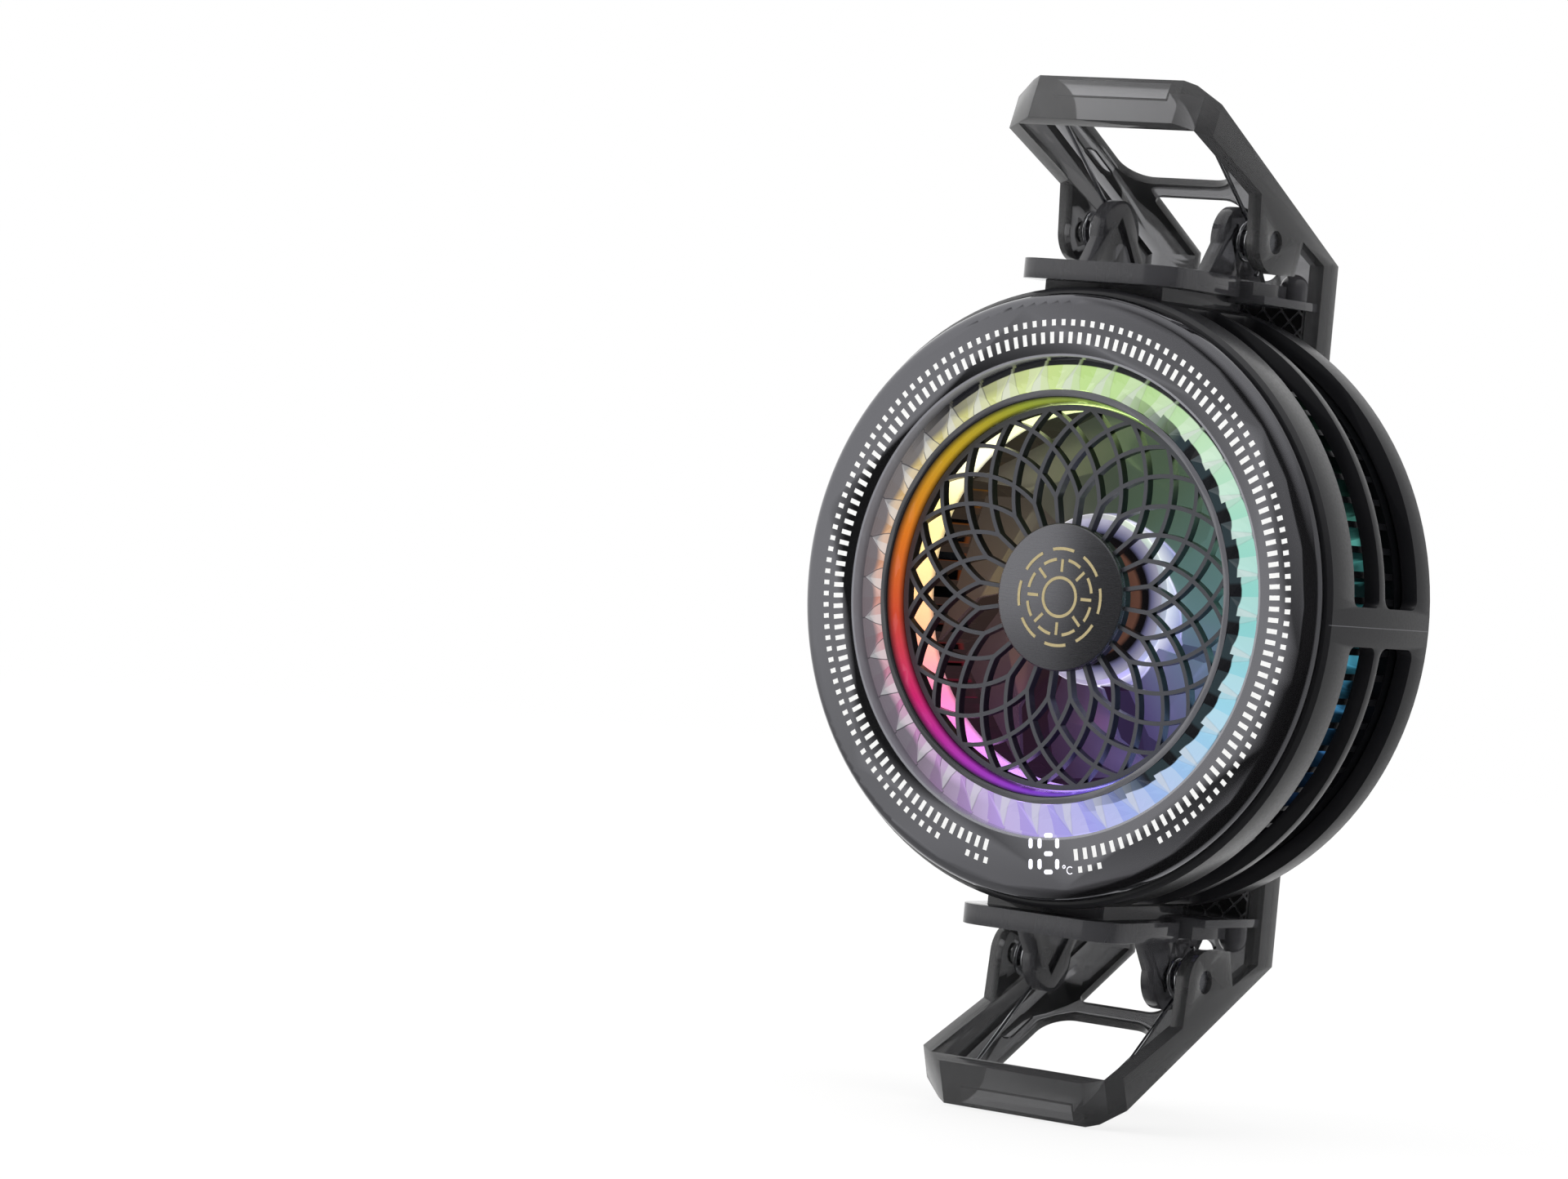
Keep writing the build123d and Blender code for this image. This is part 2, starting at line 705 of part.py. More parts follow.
def make_coils():
    half = stator_pole_width / 2
    inner_x = stator_yoke_radius + coil_gap
    outer = block(inner_x, stator_radius - stator_shoe_wall - coil_gap, stator_front_depth - coil_wall,
                  stator_rear_depth + coil_wall, -half - coil_wall, half + coil_wall)
    inner = block(inner_x - overrun, stator_radius, stator_front_depth, stator_rear_depth, -half, half)
    return Compound(around_axis(outer - inner, stator_pole_count))


def make_bearing():
    return disc(bearing_radius, bearing_front_depth, motor_plate_depth, bore=shaft_radius + bearing_slip)


def make_motor_board():
    return disc(motor_plate_radius - slip, motor_plate_depth - motor_board_wall, motor_plate_depth,
                bore=housing_radius)


def make_motor_base():
    plate_rear = motor_plate_depth + motor_plate_wall
    return turned([(bearing_radius, bearing_front_depth), (housing_radius, bearing_front_depth),
                   (housing_radius, motor_plate_depth), (motor_plate_radius, motor_plate_depth),
                   (motor_plate_radius, plate_rear), (motor_post_radius, plate_rear),
                   (motor_post_radius, sink_base_depth), (0, sink_base_depth),
                   (0, shaft_rear_depth + slip), (bearing_radius, shaft_rear_depth + slip)])


def pump_layer(front_depth, rear_depth):
    return block(-pump_half, pump_half, front_depth, rear_depth, -pump_half, pump_half)


def make_pellets():
    pellet = block(-pellet_size / 2, pellet_size / 2, pump_front_depth + pump_ceramic_wall,
                   pump_rear_depth - pump_ceramic_wall, -pellet_size / 2, pellet_size / 2)
    pitch = (pump_half - pellet_size / 2) * 2 / pellet_count
    middle = (pellet_count - 1) / 2
    places = [(column - middle, row - middle) for column in range(pellet_count) for row in range(pellet_count)]
    return Compound([Pos(pitch * column, 0, pitch * row) * pellet for column, row in places])


def make_gasket():
    half = pump_half + slip
    hole = block(-half, half, pump_front_depth - overrun, pump_rear_depth + overrun, -half, half)
    return disc(gasket_radius, pump_front_depth, pump_rear_depth) - hole


def make_cold_plate():
    plate = disc(cold_plate_radius, pump_rear_depth, overall_depth)
    return chamfer(plate.edges().group_by(Axis.Y)[-1], length=cold_plate_chamfer)


def cover_screw_places(shape):
    """A shape on the fan's axis, copied to the rear cover's screw places."""
    placed = Pos(cover_boss_circle_radius, 0, 0) * shape
    return around_axis(placed, cover_screw_count, first_angle=half_turn / cover_screw_count)


def make_rear_cover(screw_heads):
    front = shell_rear_depth - cover_wall
    plate = disc(shell_bore - slip, front, shell_rear_depth, bore=cover_bore_radius)
    bosses = cover_screw_places(disc(cover_boss_radius, pump_front_depth, front + slip))
    return fuse_all([plate] + bosses) - screw_heads


def make_plate_outline():
    """Clamp base plate seen from above, in (x, y)."""
    front = y_at(plate_front_depth)
    notch = y_at(plate_notch_depth)
    outline = Polyline((-plate_half_width, notch), (-plate_half_width, front), (plate_half_width, front),
                       (plate_half_width, notch), close=True)
    face = make_face(outline)
    corners = face.vertices().group_by(Axis.Y)[0]
    return fillet(corners, radius=plate_corner)


def ear_outline():
    """Ear's side view: a foot on the plate running up to a round head."""
    centre_y = y_at(pivot_depth)
    foot_z = plate_high - slip
    lean_share = math.cos(math.atan2(pivot_rise, ear_front_reach - ear_radius) / 2)
    foot = Polyline((centre_y - ear_front_reach, foot_z), (centre_y - ear_radius * lean_share, pivot_height),
                    (centre_y + ear_radius * lean_share, pivot_height), (centre_y + ear_rear_reach, foot_z),
                    close=True)
    return make_face(foot) + Pos(centre_y, pivot_height) * Circle(ear_radius)


def make_clamp_base():
    plate = extrude(Plane.XY.offset(plate_low) * make_plate_outline(), amount=plate_wall, dir=(0, 0, 1))
    neck_half_width = plate_half_width - plate_notch
    rear_front = plate_notch_depth + plate_notch
    neck = block(-neck_half_width, neck_half_width, plate_notch_depth - overrun, rear_front + overrun,
                 plate_low, plate_high)
    rear = block(-rear_plate_half_width, rear_plate_half_width, rear_front, rear_plate_depth,
                 flange_low, rear_plate_high)
    flange = block(-flange_half_width, flange_half_width, rear_front, flange_rear_depth, flange_low, flange_high)
    saddle = block(-saddle_half_width, saddle_half_width, saddle_front_depth, saddle_rear_depth,
                   saddle_low, plate_low + slip)
    pedestal = block(-pedestal_half_width, pedestal_half_width, pedestal_front_depth, pedestal_rear_depth,
                     saddle_low - overrun, plate_low)
    ear = extrude(Plane.YZ.offset(ear_inner_x) * ear_outline(), amount=ear_wall, dir=(1, 0, 0))
    dome = upright_rod(dome_radius, dome_depth, flange_low, dome_height - dome_radius)
    dome = dome.fuse(Pos(0, y_at(dome_depth), dome_height - dome_radius) * Sphere(dome_radius))
    pieces = [plate, neck, rear, flange, saddle - disc(shell_radius, -overrun, overall_depth)]
    pieces += both_sides(ear) + both_sides(Pos(dome_x, 0, 0) * dome)
    base = fuse_all(pieces) - pedestal
    pin = round_rod(pin_radius, pivot_depth, pivot_height, pin_inner_x(), cheek_inner_x)
    for cut in both_sides(ear_pocket()) + both_sides(pin):
        base = base - cut
    for depth in base_screw_depths:
        base = base - upright_rod(screw_radius, depth, saddle_low, plate_high + overrun)
        base = base - base_screw_head(depth)
    return base


def pin_inner_x():
    return ear_inner_x + ear_pin_bite


def ear_pocket():
    """Triangular recess moulded in an ear's inner face."""
    foot_z = plate_high + ear_pocket_foot
    points = [(pivot_depth - ear_pocket_half_width, foot_z), (pivot_depth, pivot_height + ear_pocket_rise),
              (pivot_depth + ear_pocket_half_width, foot_z)]
    return side_slab(points, ear_inner_x - overrun, ear_inner_x + ear_pocket_depth)


def base_screw_head(depth):
    """Countersink cone of a base screw, its face flush with the plate's top."""
    return Pos(0, y_at(depth), plate_high - screw_head_height / 2) * Cone(
        screw_radius, screw_head_radius, screw_head_height)


def make_base_screws():
    screws = []
    for depth in base_screw_depths:
        shank = upright_rod(screw_radius, depth, plate_high - screw_length, plate_high - screw_head_height)
        screw = shank.fuse(base_screw_head(depth))
        cross_half = screw_slot_width / 2
        screws.append(screw - block(-cross_half, cross_half, depth - screw_head_radius, depth + screw_head_radius,
                                    plate_high - screw_slot_depth, plate_high))
    return Compound(screws)


def make_pivot_pins():
    end_x = lever_half_width - pin_recess
    return Compound(both_sides(round_rod(pin_radius, pivot_depth, pivot_height, pin_inner_x(), end_x)))


def top_line(depth, below=0.0):
    """Height of the lever's flat top at a depth, lowered square to it by a wall."""
    square = math.sqrt(1 + rim_slope ** 2)
    return grip_high_point[1] - rim_slope * (depth - grip_high_point[0]) - below * square


def low_line(depth):
    """Height of the lever's lower rim at a depth."""
    return grip_low_point[1] - rim_low_slope * (depth - grip_low_point[0])


def lever_block():
    """Outer form of the lever before it is hollowed: arm and leg, with bevelled long edges."""
    profile = [grip_low_point, grip_high_point, (leg_rear_depth, top_line(leg_rear_depth)),
               (leg_rear_depth, leg_low), (leg_rim_depth, leg_low), (leg_rim_depth, low_line(leg_rim_depth))]
    body = side_slab(profile, -lever_half_width, lever_half_width)
    rise = top_line(rim_high_point[0]) - rim_high_point[1]
    far = leg_rear_depth + overrun
    arm_bevel = loft_bevel(
        [(-overrun, top_line(-overrun) - rise), (far, top_line(far) - rise)],
        (rise + overrun) / rise)
    for side in (1, -1):
        body = body - mirror_x(arm_bevel, side)
        body = body - mirror_x(leg_edge_bevel(), side)
        body = body - mirror_x(grip_corner(), side)
    return body


def mirror_x(shape, side):
    return shape if side > 0 else shape.mirror(Plane.YZ)


def loft_bevel(line, reach_share):
    """Wedge that bevels the arm's top edge: it starts on the side at the rim's height."""
    rise = top_line(rim_high_point[0]) - rim_high_point[1]
    section = [(lever_half_width + overrun * bevel_width / rise, -overrun),
               (lever_half_width + overrun * bevel_width / rise, rise * reach_share),
               (lever_half_width - bevel_width * reach_share, rise * reach_share),
               (lever_half_width + overrun * bevel_width / rise, -overrun)]
    start, end = line
    faces = []
    for depth, z in (start, end):
        points = [Vector(x, y_at(depth), z + up) for x, up in section[:-1]]
        faces.append(Face(Wire.make_polygon(points, close=True)))
    return loft(faces, ruled=True)


def leg_edge_bevel():
    """Wedge that bevels the leg's rear side edge."""
    low_z = leg_low - overrun
    high_z = grip_high_point[1]
    reach = overrun * bevel_width / leg_bevel
    outline = Polyline((lever_half_width + reach, y_at(leg_rear_depth - leg_bevel - overrun)),
                       (lever_half_width + reach, y_at(leg_rear_depth + overrun)),
                       (lever_half_width - bevel_width - reach, y_at(leg_rear_depth + overrun)), close=True)
    return extrude(Plane.XY.offset(low_z) * make_face(outline), amount=high_z - low_z, dir=(0, 0, 1))


def grip_corner():
    """Wedge that cuts the grip's front corner back to the arm's side."""
    slope = grip_corner_depth / grip_corner_width
    near = grip_low_point[0] - overrun
    inner_x = lever_half_width - grip_corner_width - overrun / slope
    outer_x = lever_half_width + overrun
    outline = Polyline((inner_x, y_at(near)), (outer_x, y_at(near)),
                       (outer_x, y_at(grip_low_point[0] + grip_corner_depth + overrun * slope)), close=True)
    lean = (grip_high_point[0] - grip_low_point[0]) / (grip_high_point[1] - grip_low_point[1])
    low_z = low_line(grip_low_point[0] + grip_corner_depth) - overrun
    height = grip_high_point[1] + overrun - low_z
    wedge = extrude(Plane.XY * make_face(outline), amount=height, dir=(0, lean, 1))
    shift = (low_z - grip_low_point[1]) * lean
    return Pos(0, shift, low_z) * wedge


def lever_hollow():
    """Space inside the tray: under the web, in front of the leg's wall, between the side walls."""
    inner_x = lever_half_width - lever_wall
    web_low_front = grip_high_point[0] + grip_bar_wall
    rear = leg_rear_depth - leg_wall
    bar_rear_low = grip_low_point[0] + grip_bar_wall
    points = [(bar_rear_low, low_line(bar_rear_low) - overrun),
              (web_low_front, top_line(web_low_front, web_wall)), (rear, top_line(rear, web_wall)),
              (rear, leg_low + leg_floor), (leg_rim_depth - overrun, leg_low + leg_floor),
              (leg_rim_depth - overrun, low_line(leg_rim_depth) - overrun)]
    return side_slab(points, -inner_x, inner_x)


def arm_opening(front_depth, rear_depth, half_width, front_corner, rear_corner, reach=web_wall + overrun):
    """Rounded opening or recess in the arm's web, cut square to the web, between two depths on its top."""
    angle = math.atan(rim_slope)
    length = (rear_depth - front_depth) / math.cos(angle)
    plane = Plane(origin=(0, y_at(front_depth), top_line(front_depth)), x_dir=(1, 0, 0),
                  z_dir=(0, math.sin(angle), math.cos(angle)))
    outline = make_face(Polyline((-half_width, 0), (half_width, 0), (half_width, length),
                                 (-half_width, length), close=True))
    sides = outline.vertices().group_by(Axis.Y)
    if rear_corner > 0:
        outline = fillet(sides[-1], radius=rear_corner)
    if front_corner > 0:
        outline = fillet(outline.vertices().group_by(Axis.Y)[0], radius=front_corner)
    cutter = plane * outline
    up = (0, math.sin(angle), math.cos(angle))
    return extrude(cutter, amount=reach, dir=(0, -up[1], -up[2])).fuse(extrude(cutter, amount=overrun, dir=up))


def lever_openings():
    finger_front = grip_high_point[0] + grip_bar_wall
    finger_rear = pivot_depth + finger_rear_reach
    finger = arm_opening(finger_front, finger_rear, finger_half_width, 0, finger_corner)
    angle = math.atan(rim_slope)
    second_front = finger_rear + cross_bar_width * math.cos(angle)
    second = arm_opening(second_front, leg_rear_depth + overrun, second_half_width, second_corner, 0)
    corner = block(-second_half_width, second_half_width, leg_rear_depth - leg_wall - overrun,
                   leg_rear_depth + overrun, top_line(leg_rear_depth) - second_drop,
                   top_line(leg_rear_depth, -overrun))
    corner = fillet(corner.edges().filter_by(Axis.Y).group_by(Axis.Z)[0], radius=second_corner)
    slots = []
    for side in (1, -1):
        half = arm_slot_width / 2
        slot = arm_opening(pivot_depth - arm_slot_front_reach, pivot_depth + arm_slot_rear_reach, half,
                           half - slip, half - slip, reach=arm_slot_recess)
        slots.append(Pos(side * (lever_half_width - arm_slot_margin - half), 0, 0) * slot)
    return [finger, second, corner] + slots


def cheek():
    """Teardrop cheek that carries the lever on its pin, at the right side."""
    front = pivot_depth - cheek_front_reach
    points = [(pivot_depth - cheek_radius, pivot_height), (front, low_line(front) + slip),
              (pivot_depth + cheek_back_reach, pivot_height + cheek_back_rise),
              (pivot_depth + cheek_heel_reach, pivot_height - cheek_heel_drop),
              (pivot_depth, pivot_height - cheek_radius)]
    plate = side_slab(points, cheek_inner_x, lever_half_width)
    return plate.fuse(round_rod(cheek_radius, pivot_depth, pivot_height, cheek_inner_x, lever_half_width))


def make_lever():
    lever = lever_block() - lever_hollow()
    for opening in lever_openings():
        lever = lever - opening
    lever = fuse_all([lever] + both_sides(cheek()))
    bore = round_rod(pin_radius + pin_slip, pivot_depth, pivot_height, -lever_half_width - overrun,
                     lever_half_width + overrun)
    return lever - bore


def make_jaw_pad():
    middle = (pad_low + pad_high) / 2
    pad = block(-pad_half_width, pad_half_width, pad_front_depth, pad_rear_depth, pad_low, pad_high)
    reach = pad_half_width + pad_length
    steps = math.ceil((pad_half_width + pad_length / 2) / math.sqrt(2) / pad_groove_pitch)
    groove = block(-reach, reach, pad_front_depth - overrun, pad_front_depth + pad_groove_depth,
                   -pad_groove_width / 2, pad_groove_width / 2)
    grooves = []
    for hand in (1, -1):
        for step in range(-steps, steps):
            lifted = Pos(0, 0, (step + 1 / 2) * pad_groove_pitch) * groove
            grooves.append(Pos(0, 0, middle) * lifted.rotate(Axis.Y, hand * quarter_turn / 2))
    return pad.cut(*grooves)


def biarc(start, start_way, end, end_way):
    """Two tangent arcs from one point and direction to another, each given by three points."""
    span = end - start
    ways = start_way + end_way
    spread = 2 * (1 - start_way.dot(end_way))
    reach = (-span.dot(ways) + math.sqrt(span.dot(ways) ** 2 + spread * span.dot(span))) / spread
    knee = start + start_way * reach
    far_knee = end - end_way * reach
    joint = (knee + far_knee) * (1 / 2)
    return [arc_through(start, knee, joint), arc_through(joint, far_knee, end)]


def arc_through(start, knee, end):
    """Arc from start to end whose tangents meet at the knee."""
    chord = end - start
    middle = (start + end) * (1 / 2)
    lean = math.acos((knee - start).normalized().dot(chord.normalized()))
    crown = middle + (knee - middle) * (math.tan(lean / 2) / math.tan(lean))
    return ThreePointArc(start, crown, end)


def spring_route():
    """Long leg under the web, nine quarter turns round the pin, short leg down to the plate."""
    tip_depth = pivot_depth - spring_leg_reach
    tip_z = top_line(tip_depth, web_wall) - wire_diameter / 2 - spring_leg_gap
    tip = Vector(coil_start_x, y_at(tip_depth), tip_z)
    centre = Vector(coil_start_x, y_at(pivot_depth), pivot_height)
    to_tip = tip - centre
    distance = to_tip.length
    tip_angle = math.atan2(to_tip.Z, to_tip.Y)
    start_angle = tip_angle - math.acos(coil_radius / distance)
    points = []
    ways = []
    for i in range(coil_quarter_turns + 1):
        angle = start_angle - math.radians(quarter_turn) * i
        forward = coil_pitch * i / 4
        flat = i in (0, coil_quarter_turns)
        lead = 0 if flat else coil_pitch / math.tau
        points.append(centre + Vector(forward, coil_radius * math.cos(angle), coil_radius * math.sin(angle)))
        way = Vector(lead, coil_radius * math.sin(angle), -coil_radius * math.cos(angle))
        ways.append(way.normalized())
    edges = [Line(tip, points[0])]
    for i in range(coil_quarter_turns):
        edges += biarc(points[i], ways[i], points[i + 1], ways[i + 1])
    foot_z = plate_high + wire_diameter / 2 + slip
    drop = (foot_z - points[-1].Z) / ways[-1].Z
    edges.append(Line(points[-1], points[-1] + ways[-1] * drop))
    return edges


def make_spring():
    edges = spring_route()
    start = edges[0] @ 0
    section = Plane(origin=start, z_dir=edges[0] % 0) * Circle(wire_diameter / 2)
    return sweep(section, path=Wire(edges))


def print_spring_gap():
    """Least clear gap between the spring's turns, measured on points along its route."""
    points = []
    travelled = 0.0
    for edge in spring_route():
        steps = max(2, round(edge.length / wire_diameter * 4))
        for i in range(steps):
            points.append((travelled + edge.length * i / steps, edge @ (i / steps)))
        travelled += edge.length
    near = math.pi * coil_radius
    gaps = [(a - b).length - wire_diameter for i, (s, a) in enumerate(points)
            for t, b in points[:i] if s - t > near]
    print(f"spring: length {travelled:.1f} mm, least gap to itself {min(gaps):.2f} mm")


def make_parts():
    """Every node's shape, by name."""
    inlet_cut = inlet_body(slip, slip + inlet_mouth_x + inlet_length, -shell_radius - overrun)
    screw_cone = [(0, shell_rear_depth), (screw_head_radius, shell_rear_depth),
                  (screw_radius, shell_rear_depth - screw_head_height),
                  (screw_radius, shell_rear_depth - screw_length), (0, shell_rear_depth - screw_length)]
    screw_space = cover_screw_places(turned(screw_cone))
    slot = block(-screw_slot_width / 2, screw_slot_width / 2, shell_rear_depth - screw_slot_depth,
                 shell_rear_depth, -screw_head_radius, screw_head_radius)
    shank_space = cover_screw_places(disc(screw_radius, shell_rear_depth - screw_length - slip, shell_rear_depth))
    parts = {
        "front_bezel": make_bezel(),
        "readout": make_readout(),
        "prism_ring": make_prism_ring(make_readout(grow=slip)),
        "glow_ring": make_glow_ring(),
        "front_grille": make_grille(),
        "hub_cap": make_hub_cap(),
        "light_guide": make_light_guide(),
        "lamp_board": make_board(inlet_cut),
        "lamps": make_lamps(),
        "inner_frame": make_inner_frame(inlet_cut),
        "side_shell": make_shell(),
        "charging_inlet": make_inlet(),
        "heat_sink": make_heat_sink(shank_space),
        "motor_base": make_motor_base(),
        "motor_board": make_motor_board(),
        "motor_bearing": make_bearing(),
        "motor_stator": make_stator(),
        "motor_coils": make_coils(),
        "fan_rotor": make_rotor(),
        "rotor_shaft": make_shaft(),
        "rotor_magnet": make_magnet(),
        "pump_hot_ceramic": pump_layer(pump_front_depth, pump_front_depth + pump_ceramic_wall),
        "pump_pellets": make_pellets(),
        "pump_cold_ceramic": pump_layer(pump_rear_depth - pump_ceramic_wall, pump_rear_depth),
        "foam_gasket": make_gasket(),
        "cold_plate": make_cold_plate(),
        "rear_cover": make_rear_cover(screw_space),
        "rear_screws": Compound(cover_screw_places(turned(screw_cone) - slot)),
    }
    spring = make_spring()
    upper = {
        "clamp_base": make_clamp_base(),
        "base_screws": make_base_screws(),
        "pivot_pins": make_pivot_pins(),
        "spring_right": spring,
        "spring_left": spring.mirror(Plane.YZ),
        "lever": make_lever(),
        "jaw_pad": make_jaw_pad(),
    }
    for name, shape in upper.items():
        parts["upper_" + name] = shape
        parts["lower_" + name] = shape.mirror(Plane.XY)
    return parts


def write_parts():
    os.makedirs("parts", exist_ok=True)
    for name, shape in make_parts().items():
        shape.label = name
        export_step(shape, os.path.join("parts", name + ".step"))
    print_spring_gap()


write_parts()
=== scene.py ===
# Clip-on phone cooler: a lit, faceted fan head on two sprung clamps.
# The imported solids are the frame. Pieces made here are in metres in the same frame:
# the lit front faces -Y, the phone lies on y = 0, and +Z runs to the upper clamp.
import json
import math

import bmesh
import bpy
from mathutils import Matrix, Vector

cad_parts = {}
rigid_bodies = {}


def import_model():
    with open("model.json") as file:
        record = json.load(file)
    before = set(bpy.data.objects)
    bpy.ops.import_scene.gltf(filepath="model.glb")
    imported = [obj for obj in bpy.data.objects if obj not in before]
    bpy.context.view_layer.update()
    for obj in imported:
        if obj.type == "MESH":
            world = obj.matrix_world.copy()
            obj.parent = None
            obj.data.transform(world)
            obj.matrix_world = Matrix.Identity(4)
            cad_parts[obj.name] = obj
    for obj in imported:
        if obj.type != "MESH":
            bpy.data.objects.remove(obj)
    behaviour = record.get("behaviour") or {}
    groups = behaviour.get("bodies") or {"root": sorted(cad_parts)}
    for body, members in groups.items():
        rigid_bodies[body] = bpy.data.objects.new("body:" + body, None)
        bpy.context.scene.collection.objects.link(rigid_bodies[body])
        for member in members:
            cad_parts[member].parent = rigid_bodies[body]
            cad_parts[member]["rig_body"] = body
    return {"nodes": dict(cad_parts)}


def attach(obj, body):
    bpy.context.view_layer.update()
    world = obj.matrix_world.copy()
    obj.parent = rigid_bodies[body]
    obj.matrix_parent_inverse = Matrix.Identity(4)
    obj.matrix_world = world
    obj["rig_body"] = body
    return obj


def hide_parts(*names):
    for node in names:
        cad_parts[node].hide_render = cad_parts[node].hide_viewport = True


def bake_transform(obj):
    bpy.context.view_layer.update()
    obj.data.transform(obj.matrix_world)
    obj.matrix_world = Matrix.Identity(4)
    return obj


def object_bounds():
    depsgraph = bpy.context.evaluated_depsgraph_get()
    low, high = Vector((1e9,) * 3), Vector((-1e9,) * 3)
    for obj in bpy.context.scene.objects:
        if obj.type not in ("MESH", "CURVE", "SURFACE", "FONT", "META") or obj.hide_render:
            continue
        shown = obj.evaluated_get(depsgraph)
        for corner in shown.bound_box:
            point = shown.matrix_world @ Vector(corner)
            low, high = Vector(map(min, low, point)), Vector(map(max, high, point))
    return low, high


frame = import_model()
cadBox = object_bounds()
nodes = frame["nodes"]
mm = 0.001
fanAxis = Vector((0, -1, 0))  # turning about it runs anticlockwise as seen from the front


def hexColour(code):
    channels = [int(code[i:i + 2], 16) / 255 for i in (1, 3, 5)]
    linear = [c / 12.92 if c <= 0.04045 else ((c + 0.055) / 1.055) ** 2.4 for c in channels]
    return (*linear, 1.0)


def addNode(tree, kind, inputs=None, **settings):
    node = tree.nodes.new(kind)
    for name, value in settings.items():
        setattr(node, name, value)
    for key, value in (inputs or {}).items():
        if isinstance(value, bpy.types.NodeSocket):
            tree.links.new(value, node.inputs[key])
        else:
            node.inputs[key].default_value = value
    return node


def newMaterial(name, inputs):
    material = bpy.data.materials.new(name)
    material.use_nodes = True
    shader = material.node_tree.nodes["Principled BSDF"]
    for key, value in inputs.items():
        shader.inputs[key].default_value = value
    return material, material.node_tree, shader


def objectPoint(tree):
    return addNode(tree, "ShaderNodeTexCoord").outputs["Object"]


def giveGrain(tree, shader, grainSize, height, roughSpread=0.0, stretch=(1, 1, 1)):
    place = addNode(tree, "ShaderNodeMapping", {"Vector": objectPoint(tree), "Scale": stretch})
    grain = addNode(tree, "ShaderNodeTexNoise", {"Vector": place.outputs[0], "Scale": 1 / grainSize, "Detail": 4.0})
    bump = addNode(tree, "ShaderNodeBump", {"Height": grain.outputs[0], "Distance": height, "Strength": 0.5})
    tree.links.new(bump.outputs[0], shader.inputs["Normal"])
    if roughSpread:
        level = shader.inputs["Roughness"].default_value
        tree.links.new(share(tree, grain.outputs[0], 0.3, 0.7, level - roughSpread, level + roughSpread),
                       shader.inputs["Roughness"])


def turnAndRadius(tree):
    split = addNode(tree, "ShaderNodeSeparateXYZ", {"Vector": objectPoint(tree)})
    angle = maths(tree, "ARCTAN2", split.outputs[2], split.outputs[0])
    turn = maths(tree, "FRACT", maths(tree, "DIVIDE", angle, math.tau))
    flat = addNode(tree, "ShaderNodeCombineXYZ", {0: split.outputs[0], 2: split.outputs[2]})
    radius = addNode(tree, "ShaderNodeVectorMath", {0: flat.outputs[0]}, operation="LENGTH")
    return turn, radius.outputs["Value"], split.outputs[1]


def sideways(tree, turn, offset=0.0):
    return maths(tree, "COSINE", maths(tree, "MULTIPLY_ADD", turn, math.tau, offset))  # 1 at the right, -1 at the left


def ramp(tree, value, stops):
    node = addNode(tree, "ShaderNodeValToRGB", {"Fac": value})
    elements = node.color_ramp.elements
    while len(elements) < len(stops):
        elements.new(0.5)
    for element, (place, code) in zip(elements, stops):
        element.position = place
        element.color = hexColour(code)
    return node.outputs["Color"]


def share(tree, value, low, high, toLow=0.0, toHigh=1.0):
    return addNode(tree, "ShaderNodeMapRange", {"Value": value, "From Min": low, "From Max": high,
                                                "To Min": toLow, "To Max": toHigh}).outputs[0]


def maths(tree, operation, *values):
    return addNode(tree, "ShaderNodeMath", dict(enumerate(values)), operation=operation).outputs[0]


def times(tree, a, b):
    return maths(tree, "MULTIPLY", a, b)


def mixed(tree, factor, first, second):
    return addNode(tree, "ShaderNodeMix", {"Factor": factor, 6: first, 7: second}, data_type="RGBA").outputs[2]


def dress(material, *names):
    for name in names:
        node = nodes[name]
        node.data.materials.clear()
        node.data.materials.append(material)


# light colours round the ring, by share of a turn from +X, anticlockwise
ringLight = {
    "wall": [(0.0, "#86e6dc"), (0.06, "#a6f0cf"), (0.12, "#c4f2b4"), (0.19, "#bfe98a"), (0.27, "#d4ec92"),
             (0.33, "#f6f7b4"), (0.38, "#faf6d2"), (0.43, "#f6de84"), (0.48, "#f8cf7e"), (0.54, "#f2a06a"),
             (0.60, "#ea5f9c"), (0.66, "#cf6ad6"), (0.72, "#b97cf2"), (0.79, "#9282f6"), (0.86, "#86a2f8"),
             (0.93, "#86c8f6"), (1.0, "#86e6dc")],
    "prism": [(0.0, "#94dcd8"), (0.06, "#a8e6d2"), (0.12, "#c8f0cc"), (0.18, "#bfe4a0"), (0.24, "#c4e690"),
              (0.30, "#dcea9c"), (0.36, "#d6d084"), (0.42, "#dcbc7c"), (0.48, "#dca078"), (0.54, "#cc8484"),
              (0.60, "#c87eac"), (0.66, "#bf90cc"), (0.72, "#b8a0e4"), (0.79, "#aaa8f4"), (0.86, "#a4c4f6"),
              (0.93, "#a6e0f6"), (1.0, "#94dcd8")],
    "collar": [(0.0, "#3f8f96"), (0.10, "#5d9f86"), (0.20, "#6f8f4c"), (0.30, "#8f9a2e"), (0.38, "#b8961c"),
               (0.46, "#d2721c"), (0.53, "#c4442c"), (0.60, "#c21f66"), (0.67, "#a22ba6"), (0.74, "#7a34c2"),
               (0.82, "#5a55c8"), (0.90, "#4b86d0"), (1.0, "#3f8f96")],
    "blade": [(0.0, "#56797c"), (0.08, "#4e6f68"), (0.17, "#3f5540"), (0.27, "#3a4636"), (0.38, "#3e382e"),
              (0.50, "#43362f"), (0.62, "#36222e"), (0.72, "#352240"), (0.82, "#4e4674"), (0.91, "#5f6c8c"),
              (1.0, "#56797c")],
}

